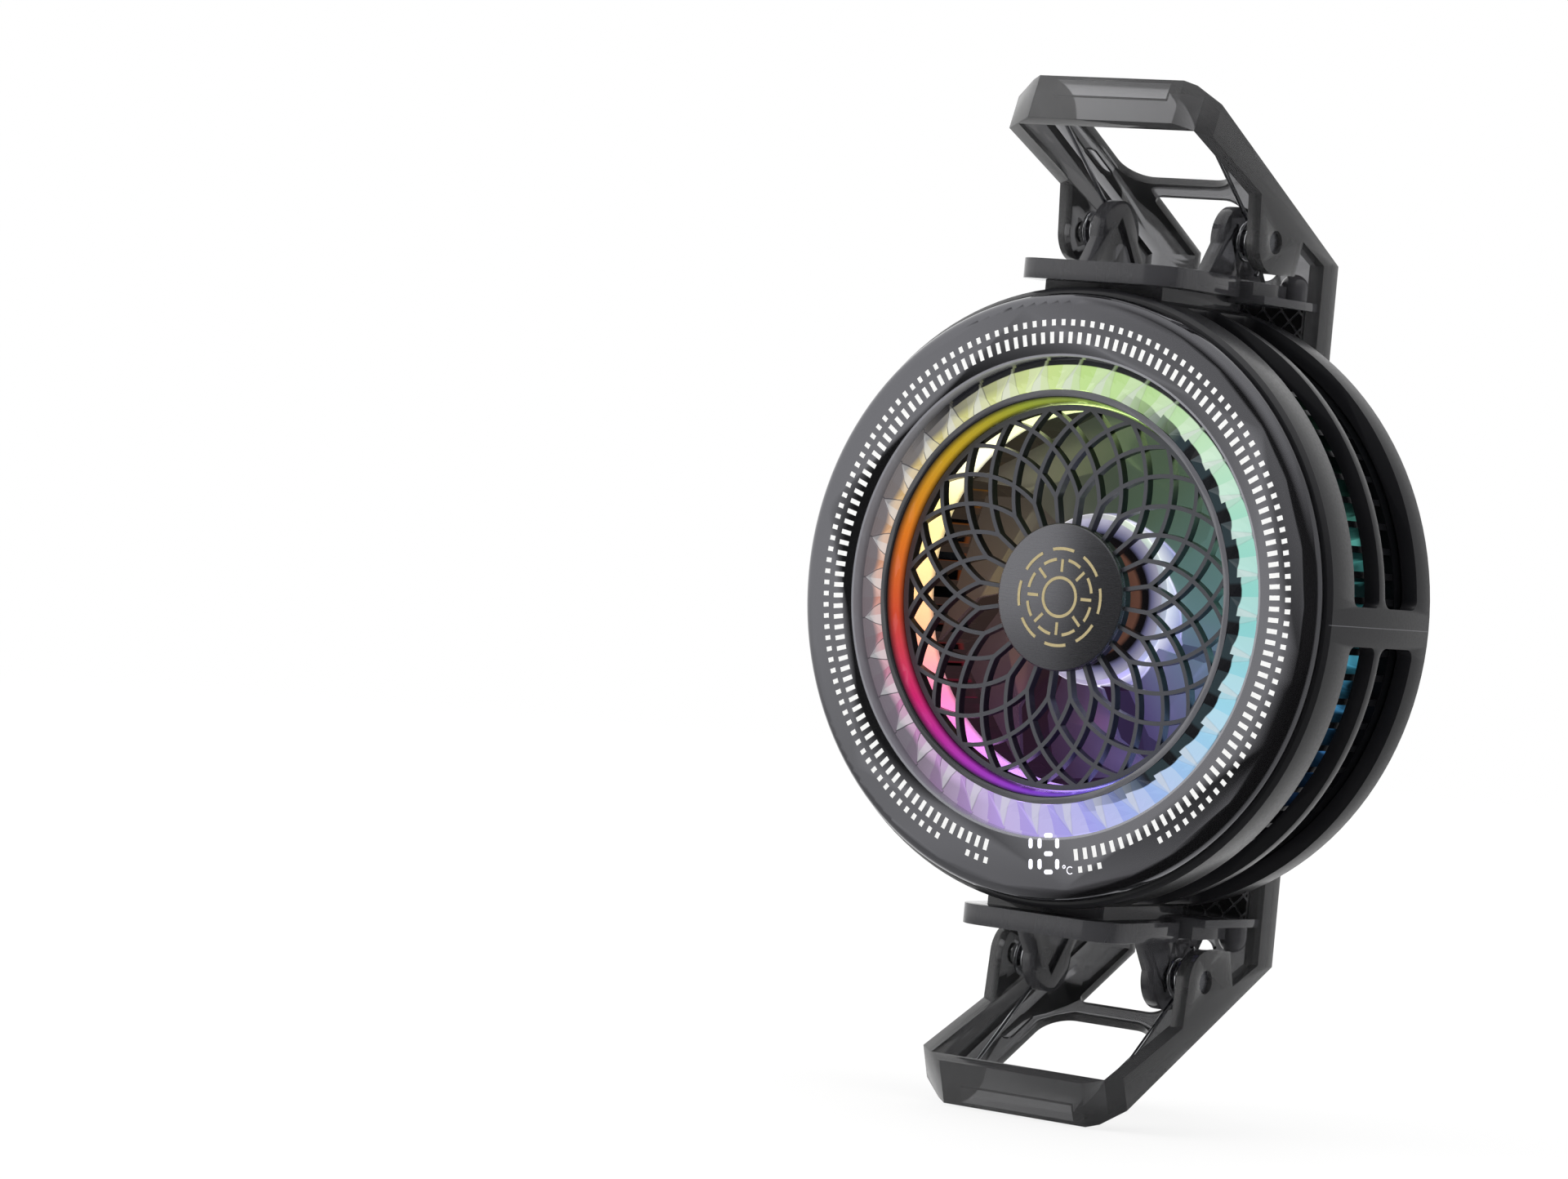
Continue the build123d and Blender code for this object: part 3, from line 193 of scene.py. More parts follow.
# mirror-coated polycarbonate: a dark mirror with faint drag marks; the coating stops at the bore, which is grey
bezelLook = {"coated": "#66666a", "bare": "#8a8a90", "metallic": 0.97, "boreRadius": (28.75 * mm, 28.65 * mm)}
bezelMirror, tree, shader = newMaterial("mirrorCoatedPolycarbonate", {
    "Roughness": 0.06, "Coat Weight": 0.3, "Coat Roughness": 0.03})
giveGrain(tree, shader, 9 * mm, 0.0015 * mm, 0.015, (1, 1, 6))
inBore = share(tree, turnAndRadius(tree)[1], *bezelLook["boreRadius"])
tree.links.new(mixed(tree, inBore, hexColour(bezelLook["coated"]), hexColour(bezelLook["bare"])),
               shader.inputs["Base Color"])
tree.links.new(maths(tree, "MULTIPLY_ADD", inBore, -bezelLook["metallic"], bezelLook["metallic"]),
               shader.inputs["Metallic"])

# pad-printed ink: flat white
tickInk, tree, shader = newMaterial("whitePadPrintInk", {"Base Color": hexColour("#f1f1f0"), "Roughness": 0.5})
giveGrain(tree, shader, 0.2 * mm, 0.004 * mm)

# lit segments: white with a hint of violet
readoutLamp, tree, shader = newMaterial("whiteSegmentLamp", {
    "Base Color": hexColour("#f4f4ff"), "Roughness": 0.35, "Emission Color": hexColour("#f2f0ff"),
    "Emission Strength": 0.55})
giveGrain(tree, shader, 0.3 * mm, 0.002 * mm)

# clear acrylic over the lit guide, drawn with painted light: each cut is a spear with a painted highlight, its point
# at the outer rim; a painted saw-edged shade lies at the right, painted grey and dark lines at the left
prism = {"count": 36, "outer": 28.2 * mm, "inner": 24.6 * mm, "spearShare": 0.3, "spearBlur": 0.012,
         "outlineWidth": (0.022, 0.006), "halfBlur": 0.01, "darkRadius": 25.95 * mm, "sawDepth": 0.5 * mm,
         "sawBlur": 0.05 * mm, "shadeSplit": (-0.2, -0.12), "rimRadius": 27.5 * mm, "rimBlur": 0.06 * mm,
         "rimGap": (0.02, 0.07, 0.6, 1.0), "rimTurn": -0.9, "leftShadeFrom": 25.3 * mm, "leftShadeRadius": 26.5 * mm,
         "rightSide": (0.25, 0.62), "leftSide": (-0.2, -0.7), "upperRight": (-0.1, 0.2), "strength": 0.9,
         "litHalfShare": 0.22, "leftGreyShade": (0.05, 0.92), "spearHighlight": (0.28, 0.5), "shadeLines": (0.12, 0.9)}
prismPaintedLight, tree, shader = newMaterial("clearCutAcrylicPaintedGlow", {
    "Base Color": hexColour("#141416"), "Roughness": 0.06, "IOR": 1.49, "Coat Weight": 0.4, "Coat Roughness": 0.03,
    "Emission Strength": prism["strength"]})
turn, radius, depth = turnAndRadius(tree)
across = maths(tree, "SUBTRACT", maths(tree, "FRACT", maths(tree, "MULTIPLY_ADD", turn, prism["count"], 0.5)), 0.5)
spread = maths(tree, "ABSOLUTE", across)
inwards = share(tree, radius, prism["outer"], prism["inner"])
spearEdge = maths(tree, "SUBTRACT", times(tree, inwards, prism["spearShare"]), spread)
spear = share(tree, spearEdge, -prism["spearBlur"], prism["spearBlur"])
outline = share(tree, maths(tree, "ABSOLUTE", spearEdge), *prism["outlineWidth"])
half = share(tree, across, -prism["halfBlur"], prism["halfBlur"])
onRight = share(tree, sideways(tree, turn), *prism["rightSide"])
onLeft = share(tree, sideways(tree, turn), *prism["leftSide"])
onUpperRight = share(tree, sideways(tree, turn, prism["rimTurn"]), *prism["upperRight"])
# painted shade: a saw-edged dark band on the inner half at the right
saw = maths(tree, "MULTIPLY_ADD", maths(tree, "FRACT", times(tree, turn, prism["count"])), prism["sawDepth"],
            prism["darkRadius"] - prism["sawDepth"])
inShade = times(tree, onRight, share(tree, maths(tree, "SUBTRACT", saw, radius), -prism["sawBlur"], prism["sawBlur"]))
# painted shade: a dark band past the rim at the upper right
pastRim = share(tree, radius, prism["rimRadius"] - prism["rimBlur"], prism["rimRadius"] + prism["rimBlur"])
rimShade = times(tree, times(tree, onUpperRight, pastRim), share(tree, spread, *prism["rimGap"]))
# painted glow: the ring's light colours, given as emission
lightColour = ramp(tree, turn, ringLight["prism"])
# painted highlight: one half of each facet lighter
litHalfFacets = mixed(tree, times(tree, half, prism["litHalfShare"]), lightColour, hexColour("#ffffff"))
# painted shade: the outer zone at the left turns grey
leftShadeZone = share(tree, radius, prism["leftShadeFrom"], prism["leftShadeRadius"], *prism["leftGreyShade"])
leftGreyShade = mixed(tree, times(tree, onLeft, leftShadeZone), litHalfFacets, hexColour("#6c6b72"))
# painted highlight: the spears near white
spearHighlightLevel = share(tree, half, 0.0, 1.0, *prism["spearHighlight"])
spearHighlight = mixed(tree, times(tree, spear, spearHighlightLevel), leftGreyShade, hexColour("#d9dcdd"))
# painted shade: dark lines round the spears, strongest at the left
shadeLineLevel = share(tree, onLeft, 0.0, 1.0, *prism["shadeLines"])
shadeLines = mixed(tree, times(tree, outline, shadeLineLevel), spearHighlight, hexColour("#3c3a40"))
shadeTone = mixed(tree, share(tree, across, *prism["shadeSplit"]), hexColour("#0f1013"), hexColour("#2c3a3f"))
shaded = mixed(tree, inShade, shadeLines, shadeTone)
tree.links.new(mixed(tree, rimShade, shaded, hexColour("#1c1c20")), shader.inputs["Emission Color"])

# tinted acrylic collar: a painted glow in the middle of its slope, and its lip is grey moulding with painted shade at
# the left
collar = {"slopeDepth": (-26.88 * mm, -26.8 * mm), "riseDepth": (-26.7 * mm, -25.6 * mm),
          "fallDepth": (-23.9 * mm, -24.9 * mm), "lipShadeTurn": (-0.6, 0.5), "strength": 1.1}
glowAcrylic, tree, shader = newMaterial("tintedGlowAcrylic", {
    "Roughness": 0.2, "IOR": 1.49, "Coat Weight": 0.4, "Coat Roughness": 0.05})
turn, radius, depth = turnAndRadius(tree)
# painted shade: the lip darkens towards the left
lipShadedTone = mixed(tree, share(tree, sideways(tree, turn), *collar["lipShadeTurn"]), hexColour("#2f2f33"),
                hexColour("#626267"))
tree.links.new(mixed(tree, share(tree, depth, *collar["slopeDepth"]), lipShadedTone, hexColour("#1c1c1e")),
               shader.inputs["Base Color"])
tree.links.new(ramp(tree, turn, ringLight["collar"]), shader.inputs["Emission Color"])
# painted glow along the middle of the slope
glowOnSlope = times(tree, share(tree, depth, *collar["riseDepth"]), share(tree, depth, *collar["fallDepth"]))
tree.links.new(times(tree, glowOnSlope, collar["strength"]), shader.inputs["Emission Strength"])

# opal diffuser: a painted glow, bright and even on the wall, with painted falloff towards the fan
guideWall = {"fadeDepth": (-19.6 * mm, -18.6 * mm), "strength": (1.4, 0.35), "innerRadius": (29.4 * mm, 28.0 * mm)}
opalGuide, tree, shader = newMaterial("opalDiffuserPolycarbonate", {
    "Base Color": hexColour("#e8e8e4"), "Roughness": 0.45})
turn, radius, depth = turnAndRadius(tree)
# painted glow in the ring's light colours, weaker with depth as painted falloff
tree.links.new(ramp(tree, turn, ringLight["wall"]), shader.inputs["Emission Color"])
glowFalloff = share(tree, depth, *guideWall["fadeDepth"], *guideWall["strength"])
tree.links.new(times(tree, glowFalloff, share(tree, radius, *guideWall["innerRadius"])), shader.inputs["Emission Strength"])

# glass-filled nylon: satin grey faces; the flanks' near-black is painted shade
grilleLook = {"faceDepth": (-24.28 * mm, -24.1 * mm), "face": "#404147", "shadedFlank": "#0b0b0d"}
grilleNylon, tree, shader = newMaterial("satinGlassFilledNylon", {"Roughness": 0.34, "Coat Weight": 0.15})
giveGrain(tree, shader, 0.5 * mm, 0.003 * mm, 0.06)
# painted shade: the rib flanks behind the face are near black
inFlankShade = share(tree, turnAndRadius(tree)[2], *grilleLook["faceDepth"])
tree.links.new(mixed(tree, inFlankShade, hexColour(grilleLook["face"]), hexColour(grilleLook["shadedFlank"])),
               shader.inputs["Base Color"])

# anodised cap: brushed from side to side and pressed slightly domed, about 0.5 mm over its radius
capDome = 8.0  # metres of rise per square metre of radius
hubCapMetal, tree, shader = newMaterial("brushedAnodisedCap", {
    "Base Color": hexColour("#6a6a6e"), "Metallic": 0.85, "Roughness": 0.27})
giveGrain(tree, shader, 0.7 * mm, 0.0015 * mm, 0.02, (0.15, 1, 3))
radius = turnAndRadius(tree)[1]
brushed = shader.inputs["Normal"].links[0].from_socket
dome = addNode(tree, "ShaderNodeBump", {"Height": times(tree, radius, radius), "Distance": capDome, "Strength": 1.0,
                                        "Normal": brushed}, invert=True)
tree.links.new(dome.outputs[0], shader.inputs["Normal"])

# gold foil inlay: pale, with a soft shine
goldInlay, tree, shader = newMaterial("champagneGoldInlay", {
    "Base Color": hexColour("#dccb9c"), "Metallic": 0.8, "Roughness": 0.35})
giveGrain(tree, shader, 0.3 * mm, 0.004 * mm, 0.08)

# moulded ABS: satin black, with the mould's parting line along the outside of the wall at mid height
shellLook = {"body": "#1d1d20", "seam": "#5a5a5e", "seamWidth": (0.07 * mm, 0.03 * mm),
             "seamRadius": (36.5 * mm, 36.6 * mm)}
shellAbs, tree, shader = newMaterial("satinBlackAbs", {
    "Roughness": 0.36, "Coat Weight": 0.2, "Coat Roughness": 0.2})
giveGrain(tree, shader, 0.35 * mm, 0.004 * mm, 0.05)
height = addNode(tree, "ShaderNodeSeparateXYZ", {"Vector": objectPoint(tree)}).outputs[2]
atSeam = times(tree, share(tree, maths(tree, "ABSOLUTE", height), *shellLook["seamWidth"]),
               share(tree, turnAndRadius(tree)[1], *shellLook["seamRadius"]))
tree.links.new(mixed(tree, atSeam, hexColour(shellLook["body"]), hexColour(shellLook["seam"])),
               shader.inputs["Base Color"])


def smokeBody(name, tint, roughness, clearness, density):
    material, tree, shader = newMaterial(name, {
        "Base Color": hexColour(tint), "Roughness": roughness, "IOR": 1.5, "Transmission Weight": clearness})
    giveGrain(tree, shader, 0.3 * mm, 0.0011 * mm, 0.03)
    smoke = addNode(tree, "ShaderNodeVolumeAbsorption", {"Color": (0, 0, 0, 1), "Density": density})
    tree.links.new(smoke.outputs[0], tree.nodes["Material Output"].inputs["Volume"])
    return material


# smoked polycarbonate: grey glass that darkens with its thickness; the base plates are darker and glossier
smokePlastic = smokeBody("smokePolycarbonate", "#88888a", 0.08, 0.82, 700)
basePlastic = smokeBody("darkSmokePolycarbonate", "#606064", 0.04, 0.6, 650)

# drawn spring wire: bright and smooth
springSteel, tree, shader = newMaterial("polishedSpringSteel", {
    "Base Color": hexColour("#dcdde0"), "Metallic": 1.0, "Roughness": 0.12})
giveGrain(tree, shader, 0.4 * mm, 0.004 * mm, 0.06)

# turned steel: mid grey, soft highlights
pinSteel, tree, shader = newMaterial("turnedPinSteel", {
    "Base Color": hexColour("#6d6e72"), "Metallic": 0.9, "Roughness": 0.3})
giveGrain(tree, shader, 0.3 * mm, 0.006 * mm, 0.08)

# silicone rubber: dull black, the hatch's grooves paler
padLook = {"face": "#161617", "groove": "#8d8d90", "grooveDepth": (4.5 * mm, 4.75 * mm)}
padRubber, tree, shader = newMaterial("blackSiliconeRubber", {"Roughness": 0.7})
giveGrain(tree, shader, 0.4 * mm, 0.02 * mm, 0.1)
inGroove = share(tree, turnAndRadius(tree)[2], *padLook["grooveDepth"])
tree.links.new(mixed(tree, inGroove, hexColour(padLook["face"]), hexColour(padLook["groove"])),
               shader.inputs["Base Color"])

# black anodised fins: dark metal, with patches of light that spills past the fan on their inner half at the right,
# seen through the front slots, and a dim glow right behind the lit wall
spillLook = {"innerRadius": (28.0 * mm, 28.6 * mm), "outerRadius": (32.0 * mm, 31.2 * mm), "patchSize": 6 * mm,
             "patches": (0.48, 0.64, 0.02, 0.9), "rightHalf": (-0.2, 0.3),
             "rearDepth": (-9.0 * mm, -6.5 * mm, 0.3, 1.0), "wallRadius": (27.6 * mm, 26.6 * mm),
             "wallStrength": 0.55}
sinkMetal, tree, shader = newMaterial("blackAnodisedFins", {
    "Base Color": hexColour("#26272b"), "Metallic": 0.8, "Roughness": 0.35})
giveGrain(tree, shader, 2.2 * mm, 0.006 * mm, 0.06)
turn, radius, depth = turnAndRadius(tree)
patches = addNode(tree, "ShaderNodeTexNoise", {"Vector": objectPoint(tree), "Scale": 1 / spillLook["patchSize"]})
spill = times(tree, share(tree, radius, *spillLook["innerRadius"]), share(tree, radius, *spillLook["outerRadius"]))
spill = times(tree, spill, share(tree, patches.outputs[0], *spillLook["patches"]))
spill = times(tree, spill, share(tree, sideways(tree, turn), *spillLook["rightHalf"]))
spill = times(tree, spill, share(tree, depth, *spillLook["rearDepth"]))
inside = share(tree, radius, *spillLook["wallRadius"])
tree.links.new(mixed(tree, inside, ramp(tree, turn, ringLight["collar"]), ramp(tree, turn, ringLight["blade"])),
               shader.inputs["Emission Color"])
tree.links.new(maths(tree, "ADD", spill, times(tree, inside, spillLook["wallStrength"])),
               shader.inputs["Emission Strength"])

# smoked rotor: the blades carry a painted glow in the ring's light colours and the hub's side a pale painted glow;
# on its face a painted glow, brown at the middle, then a dark ring of painted shade and a pale painted highlight at
# the rim
rotorLook = {"hubEdge": (10.5 * mm, 10.3 * mm), "sideRadius": (10.15 * mm, 10.25 * mm),
             "skirtDepth": (-17.6 * mm, -14.0 * mm), "bladeStrength": 0.85, "faceStrength": 0.45, "sideStrength": 0.75,
             "face": [(0.0, "#4a3029"), (0.62, "#7d5648"), (0.67, "#1c191b"), (0.76, "#141417"), (0.81, "#7f7ea6"),
                      (0.9, "#b9b6d2"), (1.0, "#dad7ea")]}
rotorSmoke, tree, shader = newMaterial("smokeRotorPolycarbonate", {"Roughness": 0.24, "Coat Weight": 0.3})
turn, radius, depth = turnAndRadius(tree)
isHub = share(tree, radius, *rotorLook["hubEdge"])
# painted glow on the hub's face: brown, then a dark ring of painted shade, then a pale painted highlight
hubFacePaintedGlow = ramp(tree, share(tree, radius, 0.0, rotorLook["hubEdge"][1]), rotorLook["face"])
tree.links.new(mixed(tree, isHub, hexColour("#4b484c"), hubFacePaintedGlow), shader.inputs["Base Color"])
tree.links.new(times(tree, isHub, 0.5), shader.inputs["Metallic"])
onSide = times(tree, share(tree, radius, *rotorLook["sideRadius"]), isHub)
# painted glow on the hub's side, pale lilac
skirtGlow = mixed(tree, share(tree, depth, *rotorLook["skirtDepth"]), hexColour("#f4f1fb"), hexColour("#9291c6"))
# painted glow on the blades in the ring's light colours
lit = mixed(tree, isHub, ramp(tree, turn, ringLight["blade"]), hubFacePaintedGlow)
tree.links.new(mixed(tree, onSide, lit, skirtGlow), shader.inputs["Emission Color"])
frontLevel = share(tree, isHub, 0.0, 1.0, rotorLook["bladeStrength"], rotorLook["faceStrength"])
tree.links.new(mixed(tree, onSide, frontLevel, (rotorLook["sideStrength"],) * 4), shader.inputs["Emission Strength"])

# brushed aluminium: light grey with fine lines from side to side
coldMetal, tree, shader = newMaterial("brushedColdPlateAluminium", {
    "Base Color": hexColour("#b9bbbf"), "Metallic": 1.0, "Roughness": 0.3})
giveGrain(tree, shader, 0.8 * mm, 0.006 * mm, 0.08, (0.1, 1, 4))

# closed-cell foam: black and pitted
foam, tree, shader = newMaterial("closedCellFoam", {"Base Color": hexColour("#1b1b1c"), "Roughness": 0.9})
giveGrain(tree, shader, 0.6 * mm, 0.08 * mm)

# sintered alumina: chalky off-white
ceramic, tree, shader = newMaterial("sinteredAluminaCeramic", {"Base Color": hexColour("#e9e8e2"), "Roughness": 0.6})
giveGrain(tree, shader, 0.3 * mm, 0.01 * mm, 0.05)

# bismuth pellets: dull grey metal with a crystalline grain
pellet, tree, shader = newMaterial("bismuthPellet", {
    "Base Color": hexColour("#6b6c70"), "Metallic": 0.7, "Roughness": 0.5})
giveGrain(tree, shader, 0.3 * mm, 0.01 * mm, 0.08)

# solder masks: smooth lacquer, black on the lamps' board and green on the motor's
boardMask, tree, shader = newMaterial("blackSolderMask", {
    "Base Color": hexColour("#15181a"), "Roughness": 0.3, "Coat Weight": 0.3})
giveGrain(tree, shader, 1.2 * mm, 0.01 * mm, 0.05)
motorMask, tree, shader = newMaterial("greenSolderMask", {"Base Color": hexColour("#1c4a34"), "Roughness": 0.3})
giveGrain(tree, shader, 1.0 * mm, 0.01 * mm, 0.05)

# lamp epoxy: glossy, lit in the ring's colours
lampLens, tree, shader = newMaterial("lampLensEpoxy", {
    "Base Color": hexColour("#f0f0ea"), "Roughness": 0.2, "Emission Strength": 2.0})
giveGrain(tree, shader, 0.4 * mm, 0.004 * mm)
tree.links.new(ramp(tree, turnAndRadius(tree)[0], ringLight["wall"]), shader.inputs["Emission Color"])

# moulded ABS inside: matte near-black
innerAbs, tree, shader = newMaterial("matteInnerAbs", {"Base Color": hexColour("#1d1d1f"), "Roughness": 0.55})
giveGrain(tree, shader, 0.5 * mm, 0.01 * mm, 0.06)

# sintered bronze: warm brown, slightly porous
bronze, tree, shader = newMaterial("sinteredBronze", {
    "Base Color": hexColour("#a67c48"), "Metallic": 1.0, "Roughness": 0.45})
giveGrain(tree, shader, 0.25 * mm, 0.01 * mm, 0.08)

# silicon steel: grey, with the edges of its sheets as fine lines
lamination, tree, shader = newMaterial("siliconSteelLaminations", {
    "Base Color": hexColour("#8d9096"), "Metallic": 1.0, "Roughness": 0.42})
giveGrain(tree, shader, 0.35 * mm, 0.02 * mm, 0.06, (0.2, 8, 0.2))

# enamelled copper wire: orange-brown, ribbed by its turns
copper, tree, shader = newMaterial("enamelledCopper", {
    "Base Color": hexColour("#b2653a"), "Metallic": 1.0, "Roughness": 0.28})
giveGrain(tree, shader, 0.3 * mm, 0.03 * mm, 0.06, (1, 8, 1))

# bonded ferrite: dull charcoal
magnet, tree, shader = newMaterial("bondedFerrite", {"Base Color": hexColour("#2a2a2b"), "Roughness": 0.65})
giveGrain(tree, shader, 0.4 * mm, 0.02 * mm, 0.08)

# black oxide steel: dark with a faint metal sheen
screwSteel, tree, shader = newMaterial("blackOxideSteel", {
    "Base Color": hexColour("#3a3a3d"), "Metallic": 0.9, "Roughness": 0.38})
giveGrain(tree, shader, 0.3 * mm, 0.006 * mm, 0.08)

# smoked window: smooth and nearly black
readoutAbs, tree, shader = newMaterial("smokedReadoutWindow", {"Base Color": hexColour("#232326"), "Roughness": 0.2})
giveGrain(tree, shader, 0.6 * mm, 0.004 * mm, 0.04)

dress(readoutAbs, "readout")
dress(prismPaintedLight, "prism_ring")
dress(opalGuide, "light_guide")
dress(boardMask, "lamp_board")
dress(lampLens, "lamps")
dress(innerAbs, "inner_frame", "motor_base")
dress(springSteel, "charging_inlet")
dress(sinkMetal, "heat_sink")
dress(motorMask, "motor_board")
dress(bronze, "motor_bearing")
dress(lamination, "motor_stator")
dress(copper, "motor_coils")
dress(pinSteel, "rotor_shaft")
dress(magnet, "rotor_magnet")
dress(ceramic, "pump_hot_ceramic", "pump_cold_ceramic")
dress(pellet, "pump_pellets")
dress(foam, "foam_gasket")
dress(coldMetal, "cold_plate")
dress(screwSteel, "rear_screws", "upper_base_screws", "lower_base_screws")
dress(pinSteel, "upper_pivot_pins", "lower_pivot_pins")
dress(padRubber, "upper_jaw_pad", "lower_jaw_pad")
print("stage: materials on the packed solids")


def finishMesh(bm, name, material, body, smoothAngle=35):
    mesh = bpy.data.meshes.new(name)
    for face in bm.faces:
        face.smooth = True
    for edge in bm.edges:
        edge.smooth = len(edge.link_faces) == 2 and edge.calc_face_angle(3) < math.radians(smoothAngle)
    bm.to_mesh(mesh)
    bm.free()
    mesh.materials.append(material)
    piece = bpy.data.objects.new(name, mesh)
    bpy.context.scene.collection.objects.link(piece)
    if body:
        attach(piece, body)
    return piece


# width of the rounded edges on each moulding; the grille and rotor only get smooth shading
softening = {"bezel": 0.12 * mm, "cover": 0.12 * mm, "shell": 0.25 * mm, "clamp": 0.25 * mm, "base": 0.2 * mm,
             "grille": 0.0, "cap": 0.1 * mm, "collar": 0.08 * mm, "rotor": 0.0, "weld": 0.002 * mm,
             "flatAngle": 0.6, "sharpAngle": 28}


def softenedCopy(node, material, width):
    body = nodes[node]["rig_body"]
    bm = bmesh.new()
    bm.from_mesh(nodes[node].data)
    bmesh.ops.remove_doubles(bm, verts=bm.verts, dist=softening["weld"])
    bmesh.ops.dissolve_limit(bm, angle_limit=math.radians(softening["flatAngle"]), verts=bm.verts, edges=bm.edges)
    if width:
        sharp = math.radians(softening["sharpAngle"])
        edges = [e for e in bm.edges if len(e.link_faces) == 2 and e.calc_face_angle(0) > sharp]
        bmesh.ops.bevel(bm, geom=edges, offset=width, offset_type="OFFSET", segments=2, affect="EDGES", profile=0.5,
                        material=-1, clamp_overlap=True)
    piece = finishMesh(bm, node + "_finished", material, body)
    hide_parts(node)


softenedCopy("front_bezel", bezelMirror, softening["bezel"])
softenedCopy("side_shell", shellAbs, softening["shell"])
softenedCopy("rear_cover", shellAbs, softening["cover"])
softenedCopy("front_grille", grilleNylon, softening["grille"])
softenedCopy("hub_cap", hubCapMetal, softening["cap"])
softenedCopy("glow_ring", glowAcrylic, softening["collar"])
softenedCopy("fan_rotor", rotorSmoke, softening["rotor"])
for end in ("upper", "lower"):
    softenedCopy(end + "_lever", smokePlastic, softening["clamp"])
    softenedCopy(end + "_clamp_base", basePlastic, softening["base"])
print("stage: softened edges")

inkThickness = 0.03 * mm
ticks = {"pitch": 2.4, "width": 0.55 * mm, "faceY": -27.0 * mm,
         "outerRadius": 32.41 * mm, "outerLength": 0.73 * mm, "innerRadius": 30.62 * mm, "innerLength": 1.35 * mm,
         "outerRuns": [(-55.7, 245.6), (-104.8, -99.9), (-76.2, -71.3)], "innerRuns": [(-76.9, 258.8)]}


def addTickRun(bm, radius, length, firstAngle, lastAngle):
    steps = round((lastAngle - firstAngle) / ticks["pitch"])
    place = Matrix.Translation((radius, ticks["faceY"] - inkThickness / 2, 0)) @ Matrix.Diagonal(
        (length, inkThickness, ticks["width"], 1))
    first = bmesh.ops.create_cube(bm, size=1, matrix=Matrix.Rotation(math.radians(firstAngle), 4, fanAxis) @ place)
    faces = list({face for vert in first["verts"] for face in vert.link_faces})
    bmesh.ops.spin(bm, geom=faces, cent=(0, 0, 0), axis=fanAxis, angle=math.radians(ticks["pitch"] * steps),
                   steps=steps, use_duplicate=True)


bm = bmesh.new()
for first, last in ticks["outerRuns"]:
    addTickRun(bm, ticks["outerRadius"], ticks["outerLength"], first, last)
for first, last in ticks["innerRuns"]:
    addTickRun(bm, ticks["innerRadius"], ticks["innerLength"], first, last)
finishMesh(bm, "printed_ticks", tickInk, "head")

readout = {"angle": -83.6, "radius": 30.3 * mm, "halfWidth": 1.23 * mm, "halfHeight": 2.15 * mm,
           "barWidth": 0.55 * mm, "barLength": 1.2 * mm, "barRound": 0.45, "firstX": -4.0 * mm, "secondX": -0.275 * mm,
           "markX": 2.75 * mm, "markZ": -1.95 * mm, "markRadius": 0.42 * mm, "markWidth": 0.1 * mm,
           "markOpening": 90, "dotRadius": 0.168 * mm}
# bars of a seven-bar digit: (centre across, centre up, upright), as shares of half the digit's width and height
digitBars = {"top": (0, 1, False), "middle": (0, 0, False), "bottom": (0, -1, False), "upLeft": (-1, 0.57, True),
             "upRight": (1, 0.57, True), "lowLeft": (-1, -0.57, True), "lowRight": (1, -0.57, True)}


def addBar(bm, frameMatrix, x, z, width, height):
    place = Matrix.Translation((x, ticks["faceY"] - inkThickness / 2, z)) @ Matrix.Diagonal(
        (width, inkThickness, height, 1))
    made = bmesh.ops.create_cube(bm, size=1, matrix=frameMatrix @ place)
    uprights = [e for v in made["verts"] for e in v.link_edges
                if abs(e.verts[0].co.y - e.verts[1].co.y) > inkThickness / 2]
    bmesh.ops.bevel(bm, geom=list(set(uprights)), offset=readout["barWidth"] * readout["barRound"], segments=2,
                    affect="EDGES", profile=0.5, material=-1)


def addArc(bm, frameMatrix, middle, radius, width, firstAngle, sweep):
    place = Matrix.Translation(Vector(middle) - Vector((0, inkThickness / 2, 0))) @ Matrix.Rotation(
        math.radians(firstAngle), 4, fanAxis)
    section = bm.faces.new([
        bm.verts.new(frameMatrix @ place @ Vector((radius + a * width / 2, b * inkThickness / 2, 0)))
        for a, b in ((-1, -1), (1, -1), (1, 1), (-1, 1))])
    whole = sweep == 360
    geom = list(section.edges) if whole else [section]
    if whole:
        bmesh.ops.delete(bm, geom=[section], context="FACES_ONLY")
    bmesh.ops.spin(bm, geom=geom, cent=frameMatrix @ Vector(middle), axis=fanAxis, angle=math.radians(sweep),
                   steps=max(6, round(sweep / 6)), use_merge=whole)


readoutFrame = Matrix.Rotation(math.radians(readout["angle"] + 90), 4, fanAxis) @ Matrix.Translation(
    (0, 0, -readout["radius"]))
bm = bmesh.new()
for left, bars in ((readout["firstX"], ("upRight", "lowRight")), (readout["secondX"], tuple(digitBars))):
    for bar in bars:
        across, up, upright = digitBars[bar]
        size = (readout["barWidth"], readout["barLength"]) if upright else (readout["barLength"], readout["barWidth"])
        addBar(bm, readoutFrame, left + across * readout["halfWidth"], up * readout["halfHeight"], *size)
# the degree mark: an open arc, then a small ring at its upper left
markX, markZ, markRadius = readout["markX"], readout["markZ"], readout["markRadius"]
addArc(bm, readoutFrame, (markX, ticks["faceY"], markZ), markRadius, readout["markWidth"],
       readout["markOpening"] / 2, 360 - readout["markOpening"])
addArc(bm, readoutFrame, (markX - markRadius * 2, ticks["faceY"], markZ + markRadius), readout["dotRadius"],
       readout["markWidth"], 0, 360)
bmesh.ops.recalc_face_normals(bm, faces=bm.faces)
finishMesh(bm, "readout_digits", readoutLamp, "head")
print("stage: printed scale and readout")

